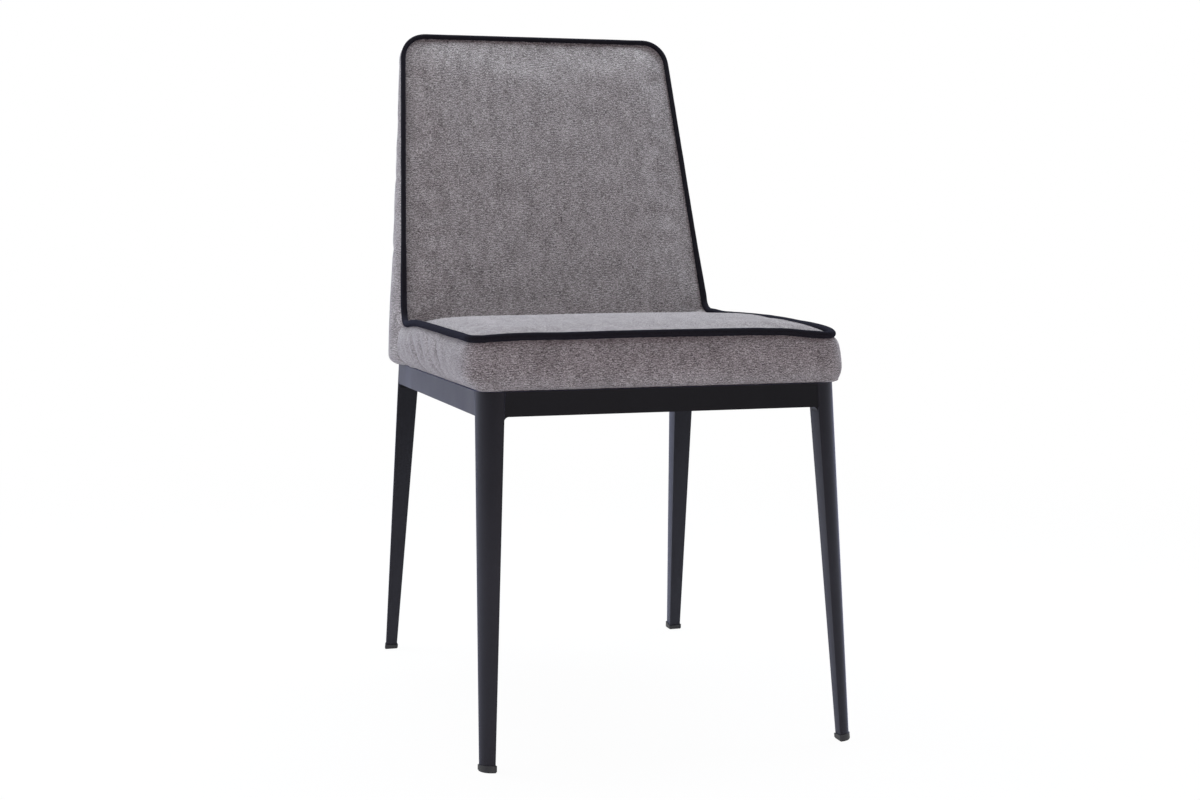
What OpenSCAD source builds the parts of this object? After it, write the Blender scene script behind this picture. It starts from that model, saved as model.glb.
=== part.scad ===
// Dining chair: a boxed and piped upholstered seat and back on a welded steel frame with
// tapered quarter-round legs. +Z is up, +Y points to the back, the chair faces -Y, and the
// origin lies on the floor under the middle of the chair's outline. Millimetres.

/* [Overall] */
// Height of the chair, floor to the crest of the back piping
total_h = 870; // [830:1:910]

/* [Steel frame] */
// Outer width of the frame at the front legs
frame_front_w = 434; // [410:1:460]
// Outer width of the frame at the rear legs
frame_rear_w = 430; // [410:1:460]
// Depth of the frame, front face to rear face
frame_d = 523; // [505:1:560]
// Height of the frame's top edge at the front
frame_front_h = 423; // [400:1:445]
// Height of the frame's top edge at the rear
frame_rear_h = 417; // [400:1:440]
// Height of the rails
rail_h = 28; // [22:0.5:36]
// Thickness of the rails, outer face to inner face
rail_t = 20; // [16:0.5:25]
// Wall of the rail tubes
rail_wall = 1.5; // [1:0.1:3]
// Radius of the weld fillet under each rail end
weld_r = 6; // [3:0.5:9]

/* [Legs] */
// Radius of a leg's quarter-round section at the top
leg_top_r = 29; // [25:0.5:32]
// Radius of a leg's quarter-round section at the foot
leg_foot_r = 16; // [13:0.5:20]
// Wall of the leg tubes
leg_wall = 1.5; // [1:0.1:2.5]
// How far each foot stands out sideways from the frame
side_splay = 8.5; // [0:0.5:20]
// How far the front feet stand out in front of the frame
front_splay = 33; // [0:1:60]
// How far the rear feet stand out behind the frame
rear_splay = 71; // [20:1:90]

/* [Foot glides] */
// Height of a glide's skirt up the leg
glide_h = 6; // [4:0.5:12]
// Thickness of the glide under the leg's end
glide_floor = 3; // [2:0.5:6]
// How far the glide stands proud of the leg
glide_lip = 1.2; // [0.6:0.1:2.5]
// Length of the plug inside the leg
plug_h = 18; // [10:1:30]
// Clearance between the glide and the leg
glide_clear = 0.15; // [0.1:0.05:0.4]

/* [Corner plates and bolts] */
// Length of a corner plate along each rail
plate_leg = 62; // [56:1:90]
// Thickness of the corner plates
plate_t = 3; // [2:0.5:5]
// Distance of the bolt from each rail's inner face
bolt_inset = 24; // [20:1:27]
// Diameter of the hole in a corner plate
plate_hole_d = 7; // [6.5:0.1:8]
// Nominal diameter of the seat bolts
bolt_d = 6; // [5:0.5:6]
// Length of the seat bolts under the head
bolt_len = 16; // [13:1:16]
// Diameter of a bolt's button head
bolt_head_d = 10.5; // [9:0.5:13]
// Height of a bolt's button head
bolt_head_h = 3.3; // [2.5:0.1:5]
// Hexagon socket in the head, across flats
bolt_socket = 4; // [3:0.5:5]
// Outer diameter of the washers
washer_d = 12; // [11:0.5:14]
// Thickness of the washers
washer_t = 1.6; // [1:0.1:2.5]
// Barrel diameter of the tee nuts
tee_barrel_d = 8; // [7.5:0.1:10]
// Flange diameter of the tee nuts
tee_flange_d = 19; // [16:0.5:22]
// Flange thickness of the tee nuts
tee_flange_t = 1.5; // [1:0.1:2.5]

/* [Seat] */
// Height of the seat's boxed edge at the front corners, frame to piping
seat_box_h = 57.5; // [45:0.5:75]
// How much higher the side piping runs at mid-seat
seat_side_rise = 5; // [0:0.5:8]
// How much higher the front piping runs at the middle
seat_front_rise = 4; // [0:0.5:8]
// How far the piping stands outside the frame at the front corners
seat_front_out = 4; // [2:0.5:12]
// How far each side of the seat swells outwards at mid-length
seat_side_swell = 12; // [0:0.5:16]
// Where along its sides the seat is widest: 1 is halfway, more is nearer to the back
seat_swell_skew = 1.4; // [1:0.1:2]
// How far the front piping stands proud of the frame's front
seat_front_proud = 2; // [0:0.5:6]
// Plan radius of the seat's front corners
seat_corner_r = 14; // [10:1:40]
// Outward bulge of the seat's boxed sides
seat_bulge = 7.5; // [2:0.5:10]
// Crown of the seat above its piping
seat_crown = 10; // [4:0.5:18]
// Thickness of the plywood seat board
board_t = 12; // [10:0.5:15]
// Inset of the board from the frame's outer faces
board_inset = 4; // [2.5:0.5:6]
// Inset of the board's rear end from the piping line of the back
board_rear_inset = 12; // [11:0.5:16]
// Width of the fabric hem turned under the board
hem_w = 28; // [22:1:32]

/* [Back] */
// Distance from the frame's rear to the back's front face, at frame height
back_root_in = 90; // [80:1:110]
// Recline of the back from upright, degrees
recline = 17.1; // [12:0.1:20]
// How far the piping stands outside the frame where the back meets the seat
back_low_out = 1; // [0:0.5:6]
// How far each side of the back draws in from the seat to its top
back_draw_in = 26; // [5:1:40]
// Radius of the back's top corners, on the piping line
back_corner_r = 32; // [18:1:60]
// Radius of the back's bottom corners
back_foot_r = 12; // [6:1:15]
// Depth of the back at its foot
back_low_d = 102; // [90:1:110]
// Depth of the back at its top
back_top_d = 32; // [30:1:40]
// How fast the depth dies away towards the top, 1 is a straight wedge
back_taper_power = 1.3; // [1:0.05:1.6]
// Outward bulge of the back's boxed sides at the foot
back_bulge = 11; // [1:0.5:12]
// Share of that swell left at the top of the back
back_bulge_top = 0.4; // [0.1:0.05:1]
// Crown of the back's front face
back_crown = 5; // [0:0.5:10]
// Rounding of the back's rear edges
back_rear_round = 6; // [3:0.5:9]
// Radius of the piping's turn from the seat up into the back
nook_r = 25; // [15:1:40]

/* [Back frame] */
// Thickness of the side stiles
stile_t = 20; // [15:0.5:22]
// Fabric and foam outside the stiles
side_pad = 12; // [9:0.5:16]
// Foam in front of the back frame, at the foot
pad_low = 26; // [18:0.5:30]
// Foam in front of the back frame, at the top
pad_top = 12; // [9:0.5:13]
// Space between the crest of the back and the top rail
crest_pad = 14; // [10:0.5:20]
// Height of the back's top rail
back_rail_h = 60; // [40:1:80]
// Height of the back's bottom rail
foot_rail_h = 45; // [35:1:60]
// Height of the lumbar rail
lumbar_rail_h = 45; // [30:1:60]
// Height of the lumbar rail's middle above the floor
lumbar_z = 600; // [560:1:640]
// Thickness of the lumbar and bottom rails
back_rail_t = 18; // [12:0.5:20]
// Wadding behind the back frame
rear_pad_t = 3; // [2:0.5:4]
// Width of a webbing strap
strap_w = 50; // [30:1:55]
// Thickness of a webbing strap
strap_t = 1.5; // [1:0.1:2]
// Leg length of the steel brackets at the back's foot
bracket_leg = 40; // [32:1:50]
// Width of the brackets
bracket_w = 22; // [18:1:24]
// Thickness of the brackets
bracket_t = 3; // [2:0.5:4]
// Diameter of the wood screws
screw_d = 4; // [3:0.5:5]
// Head diameter of the wood screws
screw_head_d = 8; // [6.5:0.5:9]

/* [Fabric and piping] */
// Thickness of the cover fabric with its backing
cover_t = 1.2; // [0.8:0.1:1.6]
// Diameter of the piping
piping_d = 7.4; // [4:0.1:9]
// Clearance between pieces that rest on each other
rest_gap = 0.2; // [0.1:0.05:0.3]
// Clearance between foam and cover
foam_gap = 0.3; // [0.2:0.05:0.5]
// Thickness of the dust cover under the seat
dust_t = 0.6; // [0.4:0.1:1]

/* [Hidden] */
$fn = 96;

// Colours
STEEL = "#2b2b2e";
BARE_STEEL = "#9a9ca0";
PLASTIC = "#1b1b1c";
PLY = "#c9a878";
FOAM = "#e6d9a8";
CLOTH = "#8f8a8c";
BLACK = "#151517";

function lerp(a, b, t) = a + (b - a) * t;
function clamp01(t) = max(0, min(1, t));

// ---------------------------------------------------------------- frame lines
// Inside the modules y = 0 is the frame's front face; stand() moves the chair to its origin.
reach = 600;                                        // longer than any cut needs
frame_tilt = atan((frame_front_h - frame_rear_h) / frame_d);
function frame_top(y) = frame_front_h - (frame_front_h - frame_rear_h) * y / frame_d;
function frame_half(y) = lerp(frame_front_w, frame_rear_w, y / frame_d) / 2;

// ---------------------------------------------------------------- back lines
piping_r = piping_d / 2;
seat_edge_h = frame_front_h + seat_box_h;           // front piping above the floor
seat_front_w = frame_front_w + 2 * seat_front_out;
back_low_w = frame_rear_w + 2 * back_low_out;       // between the piping lines
back_top_w = back_low_w - 2 * back_draw_in;
back_root = frame_d - back_root_in;
seam = (piping_r + 2 * rest_gap) / sqrt(2);         // seam to piping centre, each way
crest_z = total_h - piping_r;                       // centre of the top piping
crest_seam = seam * (1 + sin(recline)) * cos(recline); // seam below it, on the tilted back
back_foot_z = frame_top(back_root) + rest_gap;
function back_front(z) = back_root + tan(recline) * (z - frame_rear_h);
function back_half(z) =
    lerp(back_low_w, back_top_w, (z - seat_edge_h) / (crest_z - seat_edge_h)) / 2;
function back_rise(z) = clamp01((z - back_foot_z) / (crest_z - back_foot_z));
function back_depth(z) =
    back_top_d + (back_low_d - back_top_d) * pow(1 - back_rise(z), back_taper_power);
function back_rear(z) = back_front(z) + back_depth(z);
lean = atan((back_low_w - back_top_w) / 2 / (crest_z - seat_edge_h));

// The chair's outline runs from the front glides to the top of the back
front_tilt = atan((front_splay - leg_foot_r + leg_top_r) / frame_front_h);
front_reach = front_splay - leg_foot_r + (leg_foot_r + glide_lip) / cos(front_tilt);
rear_reach = back_rear(crest_z - crest_seam - back_rear_round);
origin_y = (front_reach - rear_reach) / 2;
module stand() { translate([0, origin_y, 0]) children(); }
module on_frame() {
    translate([0, 0, frame_front_h]) rotate([-frame_tilt, 0, 0]) children();
}

// ---------------------------------------------------------------- steel legs
// corner = [side, end]: side -1 left, 1 right; end -1 front, 1 rear
FRONT_LEFT = [-1, -1];
FRONT_RIGHT = [1, -1];
REAR_LEFT = [-1, 1];
REAR_RIGHT = [1, 1];
CORNERS = [FRONT_LEFT, FRONT_RIGHT, REAR_LEFT, REAR_RIGHT];
// The inner edge of a leg is the axis of its cone
function leg_head(c) = c[1] < 0
    ? [c[0] * (frame_front_w / 2 - leg_top_r), leg_top_r, frame_front_h]
    : [c[0] * (frame_rear_w / 2 - leg_top_r), frame_d - leg_top_r, frame_rear_h];
function leg_foot(c) = c[1] < 0
    ? [c[0] * (frame_front_w / 2 + side_splay - leg_foot_r), leg_foot_r - front_splay, 0]
    : [c[0] * (frame_rear_w / 2 + side_splay - leg_foot_r),
       frame_d + rear_splay - leg_foot_r, 0];
function leg_len(c) = norm(leg_head(c) - leg_foot(c));
function leg_at(c, z) = leg_foot(c) + (leg_head(c) - leg_foot(c)) * z / leg_head(c)[2];

// Children are drawn in the leg's own frame: +Z up its inner edge, +X and +Y outwards
module at_leg(c) {
    v = (leg_head(c) - leg_foot(c)) / leg_len(c);
    translate(leg_foot(c)) rotate([-asin(v[1]), atan2(v[0], v[2]), 0])
        mirror([c[0] < 0 ? 1 : 0, 0, 0]) mirror([0, c[1] < 0 ? 1 : 0, 0]) children();
}
module quarter_cone(c, shrink, z0, z1) {
    function r_at(z) = lerp(leg_foot_r, leg_top_r, z / leg_len(c)) - shrink;
    rotate_extrude(angle = 90)
        polygon([[0, z0], [r_at(z0), z0], [r_at(z1), z1], [0, z1]]);
}
module leg(c) {
    over = leg_top_r;
    color(STEEL) stand() difference() {
        at_leg(c) difference() {
            quarter_cone(c, 0, glide_floor, leg_len(c) + over);
            intersection() {
                quarter_cone(c, leg_wall, 0, leg_len(c) + 2 * over);
                translate([leg_wall, leg_wall, 0])
                    cube([leg_top_r * 2, leg_top_r * 2, leg_len(c) + 2 * over]);
            }
        }
        on_frame() translate([-reach, -reach / 2, 0]) cube([2 * reach, 2 * reach, reach]);
    }
}
// Everything beyond a leg's two inner flats, for trimming what butts against them
module beyond_side_flat(c) {
    at_leg(c) translate([0, -reach / 2, -reach / 2]) cube([reach, reach, 2 * reach]);
}
module beyond_end_flat(c) {
    at_leg(c) translate([-reach / 2, 0, -reach / 2]) cube([reach, reach, 2 * reach]);
}
module leg_quadrant(c) {
    at_leg(c) translate([0, 0, -reach / 2]) cube([reach, reach, 2 * reach]);
}

// ---------------------------------------------------------------- rails and welds
module end_rail(end) {
    y0 = end < 0 ? 0 : frame_d - rail_t;
    color(STEEL) stand() difference() {
        on_frame() difference() {
            translate([-reach / 2, y0, -rail_h]) cube([reach, rail_t, rail_h]);
            translate([-reach, y0 + rail_wall, rail_wall - rail_h])
                cube([2 * reach, rail_t - 2 * rail_wall, rail_h - 2 * rail_wall]);
        }
        for (side = [-1, 1]) beyond_side_flat([side, end]);
    }
}
module side_rail(side) {
    toe = atan((frame_front_w - frame_rear_w) / 2 / frame_d);
    color(STEEL) stand() difference() {
        on_frame() translate([side * frame_front_w / 2, 0, 0]) rotate([0, 0, side * toe])
            difference() {
                translate([side < 0 ? 0 : -rail_t, 0, -rail_h])
                    cube([rail_t, frame_d, rail_h]);
                translate([(side < 0 ? 0 : -rail_t) + rail_wall, -rail_t, rail_wall - rail_h])
                    cube([rail_t - 2 * rail_wall, frame_d + 2 * rail_t,
                          rail_h - 2 * rail_wall]);
            }
        for (end = [-1, 1]) beyond_end_flat([side, end]);
    }
}
// A concave fillet prism of radius r, its corner at the origin, filling +X and -Z
module fillet_prism(r, length) {
    rotate([90, 0, 0]) translate([0, 0, -length]) linear_extrude(length) difference() {
        translate([-r, -r]) square([2 * r, r]);
        translate([r, -r]) circle(r);
    }
}
module weld_fillets() {
    inset = rail_wall;
    color(STEEL) stand() for (c = CORNERS) {
        end_y = c[1] < 0 ? inset : frame_d - rail_t + inset;
        p = leg_at(c, frame_top(c[1] < 0 ? 0 : frame_d) - rail_h);
        difference() {
            on_frame() translate([p[0], end_y, -rail_h]) mirror([c[0] < 0 ? 0 : 1, 0, 0])
                fillet_prism(weld_r, rail_t - 2 * inset);
            beyond_side_flat(c);
        }
        difference() {
            on_frame() translate([c[0] * (frame_half(p[1]) - inset), p[1], -rail_h])
                rotate([0, 0, 90]) mirror([c[1] < 0 ? 0 : 1, 0, 0])
                    translate([0, c[0] < 0 ? -(rail_t - 2 * inset) : 0, 0])
                        fillet_prism(weld_r, rail_t - 2 * inset);
            beyond_end_flat(c);
        }
    }
}

// ---------------------------------------------------------------- corner plates
function rail_corner(c) = [c[0] * (frame_half(c[1] < 0 ? rail_t : frame_d - rail_t) - rail_t),
                           c[1] < 0 ? rail_t : frame_d - rail_t];
function bolt_point(c) = rail_corner(c) + bolt_inset * [-c[0], -c[1]];
module at_bolt(c) { on_frame() translate([bolt_point(c)[0], bolt_point(c)[1], 0]) children(); }
function side_inner(c, d) = let (y = rail_corner(c)[1] - c[1] * d)
    [c[0] * (frame_half(y) - rail_t), y];
plate_nose = 8;                                     // square end of a plate on each rail
module corner_plate(c) {
    k = rail_corner(c);
    color(STEEL) stand() difference() {
        on_frame() translate([0, 0, -plate_t]) linear_extrude(plate_t)
            polygon([k, k + [-c[0] * plate_leg, 0],
                     k + [-c[0] * plate_leg, -c[1] * plate_nose],
                     side_inner(c, plate_leg) - [c[0] * plate_nose, 0],
                     side_inner(c, plate_leg)]);
        leg_quadrant(c);
        at_bolt(c) translate([0, 0, -2 * plate_t]) cylinder(d = plate_hole_d, h = 3 * plate_t);
    }
}

// ---------------------------------------------------------------- foot glides
module quarter_plate(r, lip) {
    intersection() { circle(r + lip); translate([0, 0]) square(r + lip); }
    translate([-lip, 0]) square([lip + 0.01, r]);
    translate([0, -lip]) square([r, lip + 0.01]);
    circle(lip);
    translate([r, 0]) circle(lip);
    translate([0, r]) circle(lip);
}
module glide(c) {
    bevel = glide_lip;
    in_r = leg_foot_r - leg_wall - glide_clear;
    in_0 = leg_wall + glide_clear;
    color(PLASTIC) stand() union() {
        difference() {
            at_leg(c) difference() {
                translate([0, 0, -leg_foot_r])
                    linear_extrude(leg_foot_r + glide_h) quarter_plate(leg_foot_r, glide_lip);
                translate([-glide_clear, -glide_clear, glide_floor])
                    quarter_cone(c, -2 * glide_clear, 0, 2 * glide_h);
            }
            translate([-reach, -reach, bevel - reach]) cube([2 * reach, 3 * reach, reach]);
        }
        intersection() {
            at_leg(c) translate([0, 0, -leg_foot_r])
                linear_extrude(leg_foot_r + glide_floor)
                    quarter_plate(leg_foot_r, glide_lip / 3);
            translate([-reach, -reach, 0]) cube([2 * reach, 3 * reach, bevel]);
        }
        at_leg(c) translate([0, 0, glide_floor - 0.5]) intersection() {
            cylinder(r = in_r, h = plug_h);
            translate([in_0, in_0, 0]) cube([in_r, in_r, plug_h]);
        }
    }
}

// ---------------------------------------------------------------- lofted skins
// A loft joins rings of equal length. Closed lofts join the last ring to the first, and
// open ones end in a fan round the middle of the end ring. Each quad is split along its
// shorter diagonal, so nested skins match, and the faces are turned outwards whichever way
// the rings run.
function signed_volume(pts, faces) =
    let (v = [for (f = faces) pts[f[0]] * cross(pts[f[1]], pts[f[2]])])
    v * [for (x = v) 1] / 6;
function middle(ring) = [for (k = [0:2]) let (v = [for (p = ring) p[k]])
                         (min(v) + max(v)) / 2];
module loft(rings, closed = false) {
    m = len(rings[0]);
    n = len(rings);
    body = [for (r = rings) each r];
    pts = closed ? body : concat(body, [middle(rings[0]), middle(rings[n - 1])]);
    sides = [for (i = [0:n - (closed ? 1 : 2)]) for (j = [0:m - 1])
        let (a = i * m + j, b = i * m + (j + 1) % m,
             c = ((i + 1) % n) * m + (j + 1) % m, d = ((i + 1) % n) * m + j)
        each norm(pts[a] - pts[c]) <= norm(pts[b] - pts[d])
            ? [[a, b, c], [a, c, d]] : [[a, b, d], [b, c, d]]];
    caps = closed ? [] : concat(
        [for (j = [0:m - 1]) [n * m, (j + 1) % m, j]],
        [for (j = [0:m - 1]) [n * m + 1, (n - 1) * m + j, (n - 1) * m + (j + 1) % m]]);
    faces = concat(sides, caps);
    outward = signed_volume(pts, faces) < 0
        ? faces : [for (f = faces) [f[0], f[2], f[1]]];
    polyhedron(pts, outward, convexity = 8);
}
function shifted(ring, d) = [for (p = ring) p + d];
function reversed(v) = [for (i = [len(v) - 1:-1:0]) v[i]];
// A half outline from x = 0 round to x = 0, closed by its mirror image
function both_halves(h) = concat(h, [for (i = [len(h) - 2:-1:1]) [-h[i][0], h[i][1]]]);
function arc_points(c, r, a0, a1, n) =
    [for (i = [0:n]) let (a = lerp(a0, a1, i / n)) c + r * [cos(a), sin(a)]];
function span(a, b, n) = [for (i = [1:n - 1]) lerp(a, b, i / n)];

// ---------------------------------------------------------------- seat surfaces
back_middle = lerp(back_foot_z, crest_z, 0.52);
// The front of the back crowns forward by its share s from the middle to the seam
function back_swell(s) = seam * pow(s, 6) - back_crown * (1 - pow(s, 3));
function back_face(x, z) = let (top = z > back_middle ? crest_z : back_foot_z)
    back_front(z) + back_swell(min(1, max(abs(x) / (back_half(z) - seam),
                                          (z - back_middle) / (top - back_middle))));
nook_z = seat_edge_h + nook_r;                      // centre of the piping's turn
nook_y = back_front(nook_z) - nook_r / cos(recline);
function past_nook(y) = max(0, min(y - nook_y, nook_r * cos(recline)));
function seat_piping_half(y) = let (u = clamp01(y / nook_y))
    lerp(lerp(seat_front_w, back_low_w, u) / 2, back_half(nook_z),
         past_nook(y) / (nook_r * cos(recline)))
    + seat_side_swell * sin(180 * pow(u, seat_swell_skew));
function seat_side_z(y) = seat_edge_h + seat_side_rise * sin(180 * clamp01(y / nook_y));
// The seat curls up at its rear corners, where its piping turns into the back
function nook_lift(x, y) = let (r = nook_r + seam, d = past_nook(y))
    (r - sqrt(r * r - d * d)) * pow(min(1, abs(x) / (seat_piping_half(y) - seam)), 10);
function seat_edge_z(x, y) = seat_side_z(y) + nook_lift(x, y)
    + seat_front_rise * (1 - pow(min(1, abs(x) / seat_piping_half(y)), 2));
seat_floor = rest_gap;                              // under the hem, above the frame
seat_middle = back_root / 2;

NOOK = [0, 0.3, 0.55, 0.75, 0.9];                   // stations along the rear corners
function seat_rear(f) =
    back_front(lerp(frame_top(back_root), seat_edge_h, f)) + seam - rest_gap;
// Outline at height fraction f (0 at the frame, 1 at the seam), set out by o and in by t
function seat_outline(f, o, t) =
    let (y0 = lerp(0, seam - seat_front_proud, f) - o + t,
         y1 = seat_rear(f) - t,
         yn = y1 - (seat_rear(1) - nook_y),
         half = function (y) lerp(frame_half(y), seat_piping_half(y) - seam, f) + o - t,
         r = max(2, seat_corner_r + o - t),
         xc = half(y0 + r) - r)
    both_halves(concat(
        [[0, y0]], [for (x = span(0, xc, 4)) [x, y0]],
        arc_points([xc, y0 + r], r, -90, 0, 6),
        [for (y = concat(span(y0 + r, yn, 8), [for (s = NOOK) lerp(yn, y1, s)]))
            [half(y), y]],
        [[half(y1), y1]], [for (s = BACK_FACE) [s * half(y1), y1]], [[0, y1]]));
// The rear end of the seat lies against the crowned face of the back
function seat_ring(f, o, t = 0) = [for (p = seat_outline(f, o, t))
    let (z = lerp(frame_top(p[1]) + seat_floor + t,
                  seat_edge_z(p[0], p[1]) - seam - t, f),
         y = p[1] > seat_rear(f) - t - 0.01 ? back_face(p[0], z) - 3 * rest_gap - t : p[1])
    [p[0], y, z]];
// The crowned top, at share s of the way from the middle to the seam
function seat_top_ring(s, t = 0) = [for (p = seat_ring(1, 0, t))
    let (x = s * p[0], y = seat_middle + s * (p[1] - seat_middle))
    [x, y, seat_edge_z(x, y) - seam * pow(s, 8) - t + seat_crown * (1 - pow(s, 2.4))]];
// [height fraction, bulge share] up the boxed side
SEAT_SIDE = [[0, -0.08], [0.05, 0.35], [0.17, 0.75], [0.45, 1], [0.72, 0.8], [0.92, 0.25]];
SEAT_TOP = [0.98, 0.9, 0.7, 0.4, 0.12];
function seat_side_rings(t) = [for (q = SEAT_SIDE) seat_ring(q[0], q[1] * seat_bulge, t)];
function seat_top_rings(t) = [for (s = SEAT_TOP) seat_top_ring(s, t)];
function hem_ring(rise) = [for (p = seat_outline(0, 0, hem_w))
    [p[0], p[1], frame_top(p[1]) + seat_floor + rise]];

// ---------------------------------------------------------------- seat pieces
board_z = seat_floor + cover_t + rest_gap;          // underside of the board above the frame
board_top = board_z + board_t;
// The board narrows towards the rear, where the back's cover wraps round it
module board_outline() {
    x0 = frame_half(0) - board_inset;
    x1 = back_low_w / 2 - board_rear_inset;
    r = seat_corner_r;
    difference() {
        polygon([[-x0, board_inset], [x0, board_inset], [x1, frame_d - board_inset],
                 [-x1, frame_d - board_inset]]);
        for (side = [-1, 1]) translate([side * (x0 - r), board_inset + r]) difference() {
            translate([side < 0 ? -2 * r : 0, -2 * r]) square(2 * r);
            circle(r);
        }
    }
}
module seat_board() {
    color(PLY) stand() difference() {
        on_frame() translate([0, 0, board_z]) linear_extrude(board_t)
            board_outline();
        for (c = CORNERS) at_bolt(c) {
            cylinder(d = tee_barrel_d + rest_gap, h = 2 * board_top);
            translate([0, 0, board_top - tee_flange_t])
                cylinder(d = tee_flange_d + 2 * rest_gap, h = board_top);
        }
        for (side = [-1, 1]) board_screw_points(side)
            translate([0, 0, -screw_len]) cylinder(d = screw_d + 0.1, h = 2 * screw_len);
    }
}
module above_board(gap) {
    on_frame() translate([-reach, -reach / 2, board_top + gap])
        cube([2 * reach, 2 * reach, reach]);
}
module seat_foam() {
    t = cover_t + foam_gap;
    color(FOAM) stand() intersection() {
        loft(concat(seat_side_rings(t), [seat_ring(1, 0, t)], seat_top_rings(t)));
        above_board(rest_gap);
    }
}
module seat_top_panel() {
    outer = concat([seat_ring(1, 0)], seat_top_rings(0));
    inner = concat([seat_ring(1, 0, cover_t)], seat_top_rings(cover_t));
    color(CLOTH) stand() loft(concat(reversed(inner), outer));
}
module seat_border() {
    slack = [0, 0, -rest_gap];
    outer = concat([hem_ring(0)], seat_side_rings(0), [shifted(seat_ring(1, 0), slack)]);
    inner = concat([hem_ring(cover_t)], seat_side_rings(cover_t),
                   [shifted(seat_ring(1, 0, cover_t), slack)]);
    open_x = back_low_w / 2 - 2 * board_inset;
    tail = hem_w + cover_t;
    color(CLOTH) stand() difference() {
        loft(concat(outer, reversed(inner)), closed = true);
        translate([-open_x, back_root - tail, 0])
            cube([2 * open_x, 2 * tail + nook_r, seat_edge_h + 2 * nook_r]);
    }
}
module seat_dust_cover() {
    edge = rail_t + 2;
    cut = plate_leg + plate_nose + 2;
    xf = frame_half(edge) - edge;
    xr = frame_half(frame_d - edge) - edge;
    color(BLACK) stand() on_frame() translate([0, 0, -dust_t - rest_gap / 2])
        linear_extrude(dust_t) polygon([
            [cut - xf, edge], [xf - cut, edge], [xf, edge + cut], [xr, frame_d - edge - cut],
            [xr - cut, frame_d - edge], [cut - xr, frame_d - edge],
            [-xr, frame_d - edge - cut], [-xf, edge + cut]]);
}

// ---------------------------------------------------------------- back surfaces
// Front-view outline, set out by o and in by t; bulge swells its sides
function back_outline(o, t, bulge) =
    let (zb = back_foot_z + t + max(0, -o - back_rear_round / 5), zt = crest_z - crest_seam + o - t,
         half = function (z) back_half(z) - seam + o - t
                             + bulge * lerp(1, back_bulge_top, back_rise(z)),
         rb = max(2, back_foot_r + o - t), rt = max(4, back_corner_r - seam + o - t),
         xb = half(zb + rb) - rb, xt = half(zt - rt) - rt)
    both_halves(concat(
        [[0, zb]], [for (x = span(0, xb, 3)) [x, zb]],
        arc_points([xb, zb + rb], rb, -90, 0, 4),
        [for (z = span(zb + rb, zt - rt, 10)) [half(z), z]],
        arc_points([xt, zt - rt], rt, 0, 90, 6),
        [for (x = span(xt, 0, 3)) [x, zt]], [[0, zt]]));
// The foot of the back settles on the sloping frame
function settled(y, z) = z + (frame_top(y) - frame_top(back_root))
    * (1 - clamp01((z - back_foot_z) / (seat_edge_h - back_foot_z)));
// A ring round the boxed edge at depth fraction f (0 front seam, 1 rear seam)
function back_ring(f, o, bulge, t = 0) = [for (p = back_outline(o, t, bulge))
    let (y = lerp(back_front(p[1]) + seam + t, back_rear(p[1]) - t, f))
    [p[0], y, settled(y, p[1])]];
function back_shrunk(s, o, t) = [for (p = back_outline(o, t, 0))
    [s * p[0], back_middle + s * (p[1] - back_middle)]];
function back_front_ring(s, t = 0) = [for (p = back_shrunk(s, 0, t))
    [p[0], back_front(p[1]) + back_swell(s) + t, settled(back_front(p[1]), p[1])]];
function back_rear_ring(s, t = 0) = [for (p = back_shrunk(s, -back_rear_round, t))
    [p[0], back_rear(p[1]) - t, settled(back_rear(p[1]), p[1])]];
// [depth fraction, outset, bulge share] from the front seam to the rear seam
BACK_SIDE = [[0.1, 0, 0.5], [0.35, 0, 1], [0.65, 0, 0.8], [0.9, -1.2, 0.3],
             [0.97, -back_rear_round / 2, 0]];
BACK_FACE = [0.98, 0.88, 0.65, 0.35, 0.1];
function back_side_rings(t) =
    [for (q = BACK_SIDE) back_ring(q[0], q[1], q[2] * back_bulge, t)];
function front_seam_ring(t) = back_ring(0, 0, 0, t);
function rear_seam_ring(t) = back_ring(1, -back_rear_round, 0, t);

// ---------------------------------------------------------------- back frame
// Rear face of the front foam, and the frame's own front and rear faces
function pad_rear(z) = back_front(z) + lerp(pad_low, pad_top, back_rise(z));
function stile_front(z) = pad_rear(z) + strap_t + 2 * rest_gap;
function stile_rear(z) = back_rear(z) - cover_t - rear_pad_t - 2 * rest_gap;
stile_foot_z = frame_top(frame_d) + board_top;
stile_head_z = crest_z - crest_pad;
stile_x = back_half(stile_foot_z) - side_pad;       // outer face of the stiles at their foot
module at_stile(side) {
    mirror([side < 0 ? 1 : 0, 0, 0]) translate([stile_x, 0, stile_foot_z])
        rotate([0, -lean, 0]) children();
}
// Extrudes a side profile [y, z] across the chair
module across(x0, x1, profile) {
    translate([x0, 0, 0]) rotate([90, 0, 90]) linear_extrude(x1 - x0) polygon(profile);
}
function heights(z0, z1, n) = [for (i = [0:n]) lerp(z0, z1, i / n)];
frame_levels = heights(stile_foot_z - 10, stile_head_z, 12);
function wedge_profile(levels) = concat([for (z = levels) [stile_front(z), z]],
    [for (z = reversed(levels)) [stile_rear(z), z]]);
module below_board_top(gap) {
    on_frame() translate([-reach, -reach / 2, board_top + gap - reach])
        cube([2 * reach, 2 * reach, reach]);
}
module back_stile(side) {
    color(PLY) stand() difference() {
        at_stile(side) difference() {
            across(-stile_t, 0, [for (p = wedge_profile(frame_levels))
                [p[0], (p[1] - stile_foot_z) / cos(lean)]]);
            bracket_screw_row() translate([0, 0, -screw_len])
                cylinder(d = screw_d + 0.1, h = 2 * screw_len);
        }
        below_board_top(rest_gap);
    }
}
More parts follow.
